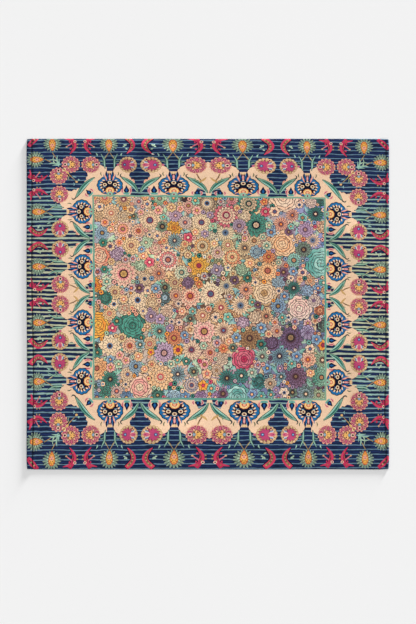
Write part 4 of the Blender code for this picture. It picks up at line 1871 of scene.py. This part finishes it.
    def write_maps(
        self, mesh: bpy.types.Mesh, faces: np.ndarray, at: np.ndarray, is_under: np.ndarray, tops: int
    ) -> None:
        """Writes the cut map and the print map, in metres, and a flat map of the whole sheet.

        Args:
            mesh: The cloth's mesh.
            faces: All the triangles.
            at: The flat place of every point.
            is_under: Whether each triangle is the underside's.
            tops: How many of the points are the upper side's.
        """
        place = at[faces]
        full = np.array([self.shape.width, self.shape.depth]) + 2 * self.bake_margin
        share = place / full + 0.5
        lower = (faces >= tops) & ~is_under[:, None]
        outwards = np.where(lower[:, :, None], place / (full / 2), 0.0)
        # The high odd power moves the walls' lower corners out at the rim alone
        share += np.clip(outwards, -1, 1) ** 31 * self.bake_margin / full
        strip, up = self.bake_strip, share[:, :, 1]
        share[:, :, 1] = np.where(is_under[:, None], up * strip * 0.9, strip + up * (1 - strip))
        on_print = self.layout.on_print(at)[faces] * MM
        for name, values in (("cut", place), ("print", on_print), ("OFBake", share)):
            layer = mesh.uv_layers.new(name=name)
            layer.uv.foreach_set("vector", values.astype(np.float32).ravel())


def rim_loop(triangles: np.ndarray) -> np.ndarray:
    """The outer edge of a flat mesh of anticlockwise triangles, as a loop of its points."""
    edges = np.vstack([triangles[:, [0, 1]], triangles[:, [1, 2]], triangles[:, [2, 0]]])
    there = set(map(tuple, edges.tolist()))
    after = {a: b for a, b in there if (b, a) not in there}
    first = min(after)
    loop = [first]
    while after[loop[-1]] != first:
        loop.append(after[loop[-1]])
    return np.array(loop)


@dataclass
class HemStitches:
    """The two rows of stitches that hold the side hems, one row in each groove.

    Attributes:
        shape: The cloth's shape.
        pitch: From one stitch to the next, in metres.
        length: The length of a stitch that shows.
        thread: The thread's thickness.
        seed: The seed of the stitches' sway.
        row_end: How far from the cloth's ends each row stops.
        row_points: How many points carry each row.
    """

    shape: ClothShape
    pitch: float = 0.0052
    length: float = 0.0040
    thread: float = 0.0009
    seed: int = 5
    row_end: float = 0.006
    row_points: int = 140

    def rows(self) -> bpy.types.Object:
        """The lines that the stitches follow, as a mesh of edges on the cloth."""
        points, edges = [], []
        reach = self.shape.depth / 2 - self.row_end
        for hem in HEMS.values():
            x = hem.inwards * (-self.shape.width / 2 + hem.width)
            y = np.linspace(-reach, reach, self.row_points)
            row = self.shape.upper(np.column_stack([np.full(len(y), x), y]))
            edges += [(len(points) + n, len(points) + n + 1) for n in range(len(row) - 1)]
            points += row.tolist()
        mesh = bpy.data.meshes.new("stitch_rows")
        mesh.from_pydata(points, edges, [])
        rows = bpy.data.objects.new("stitch_rows", mesh)
        bpy.context.scene.collection.objects.link(rows)
        return rows

    def tree(self, thread: bpy.types.Material) -> bpy.types.NodeTree:
        """Builds the tree that sets a stitch at every pitch along its lines."""
        tree = bpy.data.node_groups.new("hem_stitches", "GeometryNodeTree")
        face = tree.interface
        face.new_socket("Geometry", in_out="INPUT", socket_type="NodeSocketGeometry")
        for name in ("Pitch", "Length", "Thread"):
            face.new_socket(name, in_out="INPUT", socket_type="NodeSocketFloat")
        face.new_socket("Geometry", in_out="OUTPUT", socket_type="NodeSocketGeometry")
        add = partial(add_node, tree)
        given = add("NodeGroupInput").outputs
        line = add("GeometryNodeMeshToCurve", {"Mesh": given["Geometry"]})
        spaced = {"Curve": line, "Length": given["Pitch"]}
        spots = add("GeometryNodeCurveToPoints", spaced, mode="LENGTH").outputs
        heading = add("FunctionNodeAlignRotationToVector", {"Vector": spots["Tangent"]}, axis="X")
        limits = {0: (-0.03, -0.03, -0.12), 1: (0.03, 0.03, 0.12), "Seed": self.seed}
        sway = add("FunctionNodeRandomValue", limits, data_type="FLOAT_VECTOR")
        turn = add("FunctionNodeRotateRotation", (heading, sway), rotation_space="LOCAL")
        bead = add("GeometryNodeMeshUVSphere", {"Segments": 6, "Rings": 5, "Radius": 0.5})
        slim = add("ShaderNodeCombineXYZ", (given["Length"], given["Thread"], given["Thread"]))
        stitch = add("GeometryNodeTransform", {"Geometry": bead, "Scale": slim})
        places = {"Points": spots["Points"], "Instance": stitch, "Rotation": turn}
        set_out = add("GeometryNodeInstanceOnPoints", places)
        real = add("GeometryNodeRealizeInstances", (set_out,))
        dyed = add("GeometryNodeSetMaterial", {"Geometry": real, "Material": thread})
        add("NodeGroupOutput", (dyed,))
        return tree

    def build(self, thread: bpy.types.Material) -> bpy.types.Object:
        """Makes the stitches as one plain mesh.

        Args:
            thread: The thread's material.

        Returns:
            The stitches' object.
        """
        rows = self.rows()
        tree = self.tree(thread)
        maker = rows.modifiers.new("stitches", "NODES")
        maker.node_group = tree
        given = {"Pitch": self.pitch, "Length": self.length, "Thread": self.thread}
        for socket in tree.interface.items_tree:
            if socket.in_out == "INPUT" and socket.name in given:
                maker[socket.identifier] = given[socket.name]
        seen = rows.evaluated_get(bpy.context.evaluated_depsgraph_get())
        mesh = bpy.data.meshes.new_from_object(seen)
        rows.modifiers.clear()
        bpy.data.objects.remove(rows)
        mesh.name = "hem_stitches"
        mesh.shade_smooth()
        stitches = bpy.data.objects.new("hem_stitches", mesh)
        bpy.context.scene.collection.objects.link(stitches)
        return stitches


@dataclass
class Studio:
    """The pale floor, the soft light and the camera straight above.

    Attributes:
        pixel: The size on the floor of one pixel of the photograph, in metres.
        cloth_middle: The pixel of the photograph where the cloth's middle lies.
        photo_size: The photograph's width and height, in pixels.
        lens_mm: The camera's focal length, long so that little perspective shows.
        sensor_mm: The camera's sensor along the photograph's longer side.
        floor_colour: The floor's colour.
        floor_reach: How far the floor goes each way, in metres.
        floor_level: The floor's height, a hair under the cloth, in metres.
        sun_height: How high the sun stands, in degrees.
        sun_from: The heading that it shines from, in degrees.
        sun_width: The angle that it fills, in degrees, which softens the shadow.
        sun_strength: How bright the sun is.
        sky_strength: How bright the sky is.
    """

    pixel: float
    cloth_middle: tuple[float, float] = (207.8, 304.15)
    photo_size: tuple[int, int] = (416, 624)
    lens_mm: float = 100.0
    sensor_mm: float = 36.0
    floor_colour: str = "#f1f1f1"
    floor_reach: float = 30.0
    floor_level: float = -0.0004
    sun_height: float = 4.2
    sun_from: float = 61.0
    sun_width: float = 8.0
    sun_strength: float = 10.5
    sky_strength: float = 0.76

    def floor(self) -> bpy.types.Object:
        """A matt pale floor just under the cloth."""
        material, add = new_material("matt_studio_floor")
        place = add("ShaderNodeTexCoord").outputs["Object"]
        cloud = add(NOISE, {"Vector": place, "Scale": 0.6, "Detail": 1.0})
        tone = add(MATHS, (cloud, 0.02, 0.99), operation="MULTIPLY_ADD")
        colour = add("ShaderNodeHueSaturation", {"Value": tone, "Color": tint(self.floor_colour)})
        shader = add("ShaderNodeBsdfPrincipled", {"Base Color": colour, "Roughness": 0.9})
        add("ShaderNodeOutputMaterial", {"Surface": shader})
        mesh = bpy.data.meshes.new("floor")
        corners = [(x, y, self.floor_level) for x, y in (SQUARE * self.floor_reach).tolist()]
        mesh.from_pydata(corners, [], [(0, 1, 2, 3)])
        mesh.materials.append(material)
        floor = bpy.data.objects.new("floor", mesh)
        bpy.context.scene.collection.objects.link(floor)
        return floor

    def lights(self) -> None:
        """A wide soft sky, and a low soft sun from the upper right that draws the edges' shadow."""
        world = bpy.data.worlds.new("soft_sky")
        world.use_nodes = True
        sky = world.node_tree.nodes["Background"]
        sky.inputs["Color"].default_value = (1.0, 1.0, 1.0, 1.0)
        sky.inputs["Strength"].default_value = self.sky_strength
        bpy.context.scene.world = world
        lamp = bpy.data.lights.new("low_sun", "SUN")
        lamp.energy = self.sun_strength
        lamp.angle = math.radians(self.sun_width)
        sun = bpy.data.objects.new("low_sun", lamp)
        rise, turn = math.radians(self.sun_height), math.radians(self.sun_from)
        flat = math.cos(rise)
        towards = Vector((flat * math.cos(turn), flat * math.sin(turn), math.sin(rise)))
        sun.rotation_mode = "QUATERNION"
        sun.rotation_quaternion = towards.to_track_quat("Z", "Y")
        bpy.context.scene.collection.objects.link(sun)

    def camera(self) -> None:
        """A long lens that looks straight down at the middle of the photograph's frame."""
        wide, high = self.photo_size
        lens = bpy.data.cameras.new("camera")
        lens.lens = self.lens_mm
        lens.sensor_width = self.sensor_mm
        lens.clip_end = 100.0
        camera = bpy.data.objects.new("camera", lens)
        height = high * self.pixel * self.lens_mm / self.sensor_mm
        across = (wide / 2 - self.cloth_middle[0]) * self.pixel
        up = (self.cloth_middle[1] - high / 2) * self.pixel
        camera.location = (across, up, height)
        bpy.context.scene.collection.objects.link(camera)
        bpy.context.scene.camera = camera

    def build(self) -> None:
        """Sets up the whole studio."""
        self.floor()
        self.lights()
        self.camera()
        bpy.context.scene.view_settings.view_transform = "Standard"


def main() -> None:
    logging.basicConfig(level=logging.INFO, format="%(name)s: %(message)s")
    low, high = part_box(NODE)
    shape = ClothShape(width=high[0] - low[0], depth=high[1] - low[1])
    thread = SewingThread().make()
    cloth = ThrowCloth(shape).build(PrintedFleece().make(), PlainFleece().make())
    log.info("%s: %d faces", cloth.name, len(cloth.data.polygons))
    stitches = HemStitches(shape).build(thread)
    log.info("%s: %d faces", stitches.name, len(stitches.data.polygons))
    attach(cloth, BODY)
    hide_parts(NODE)
    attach(stitches, BODY)
    Studio(pixel=shape.width / CLOTH_PIXELS).build()


if __name__ == "__main__":
    main()
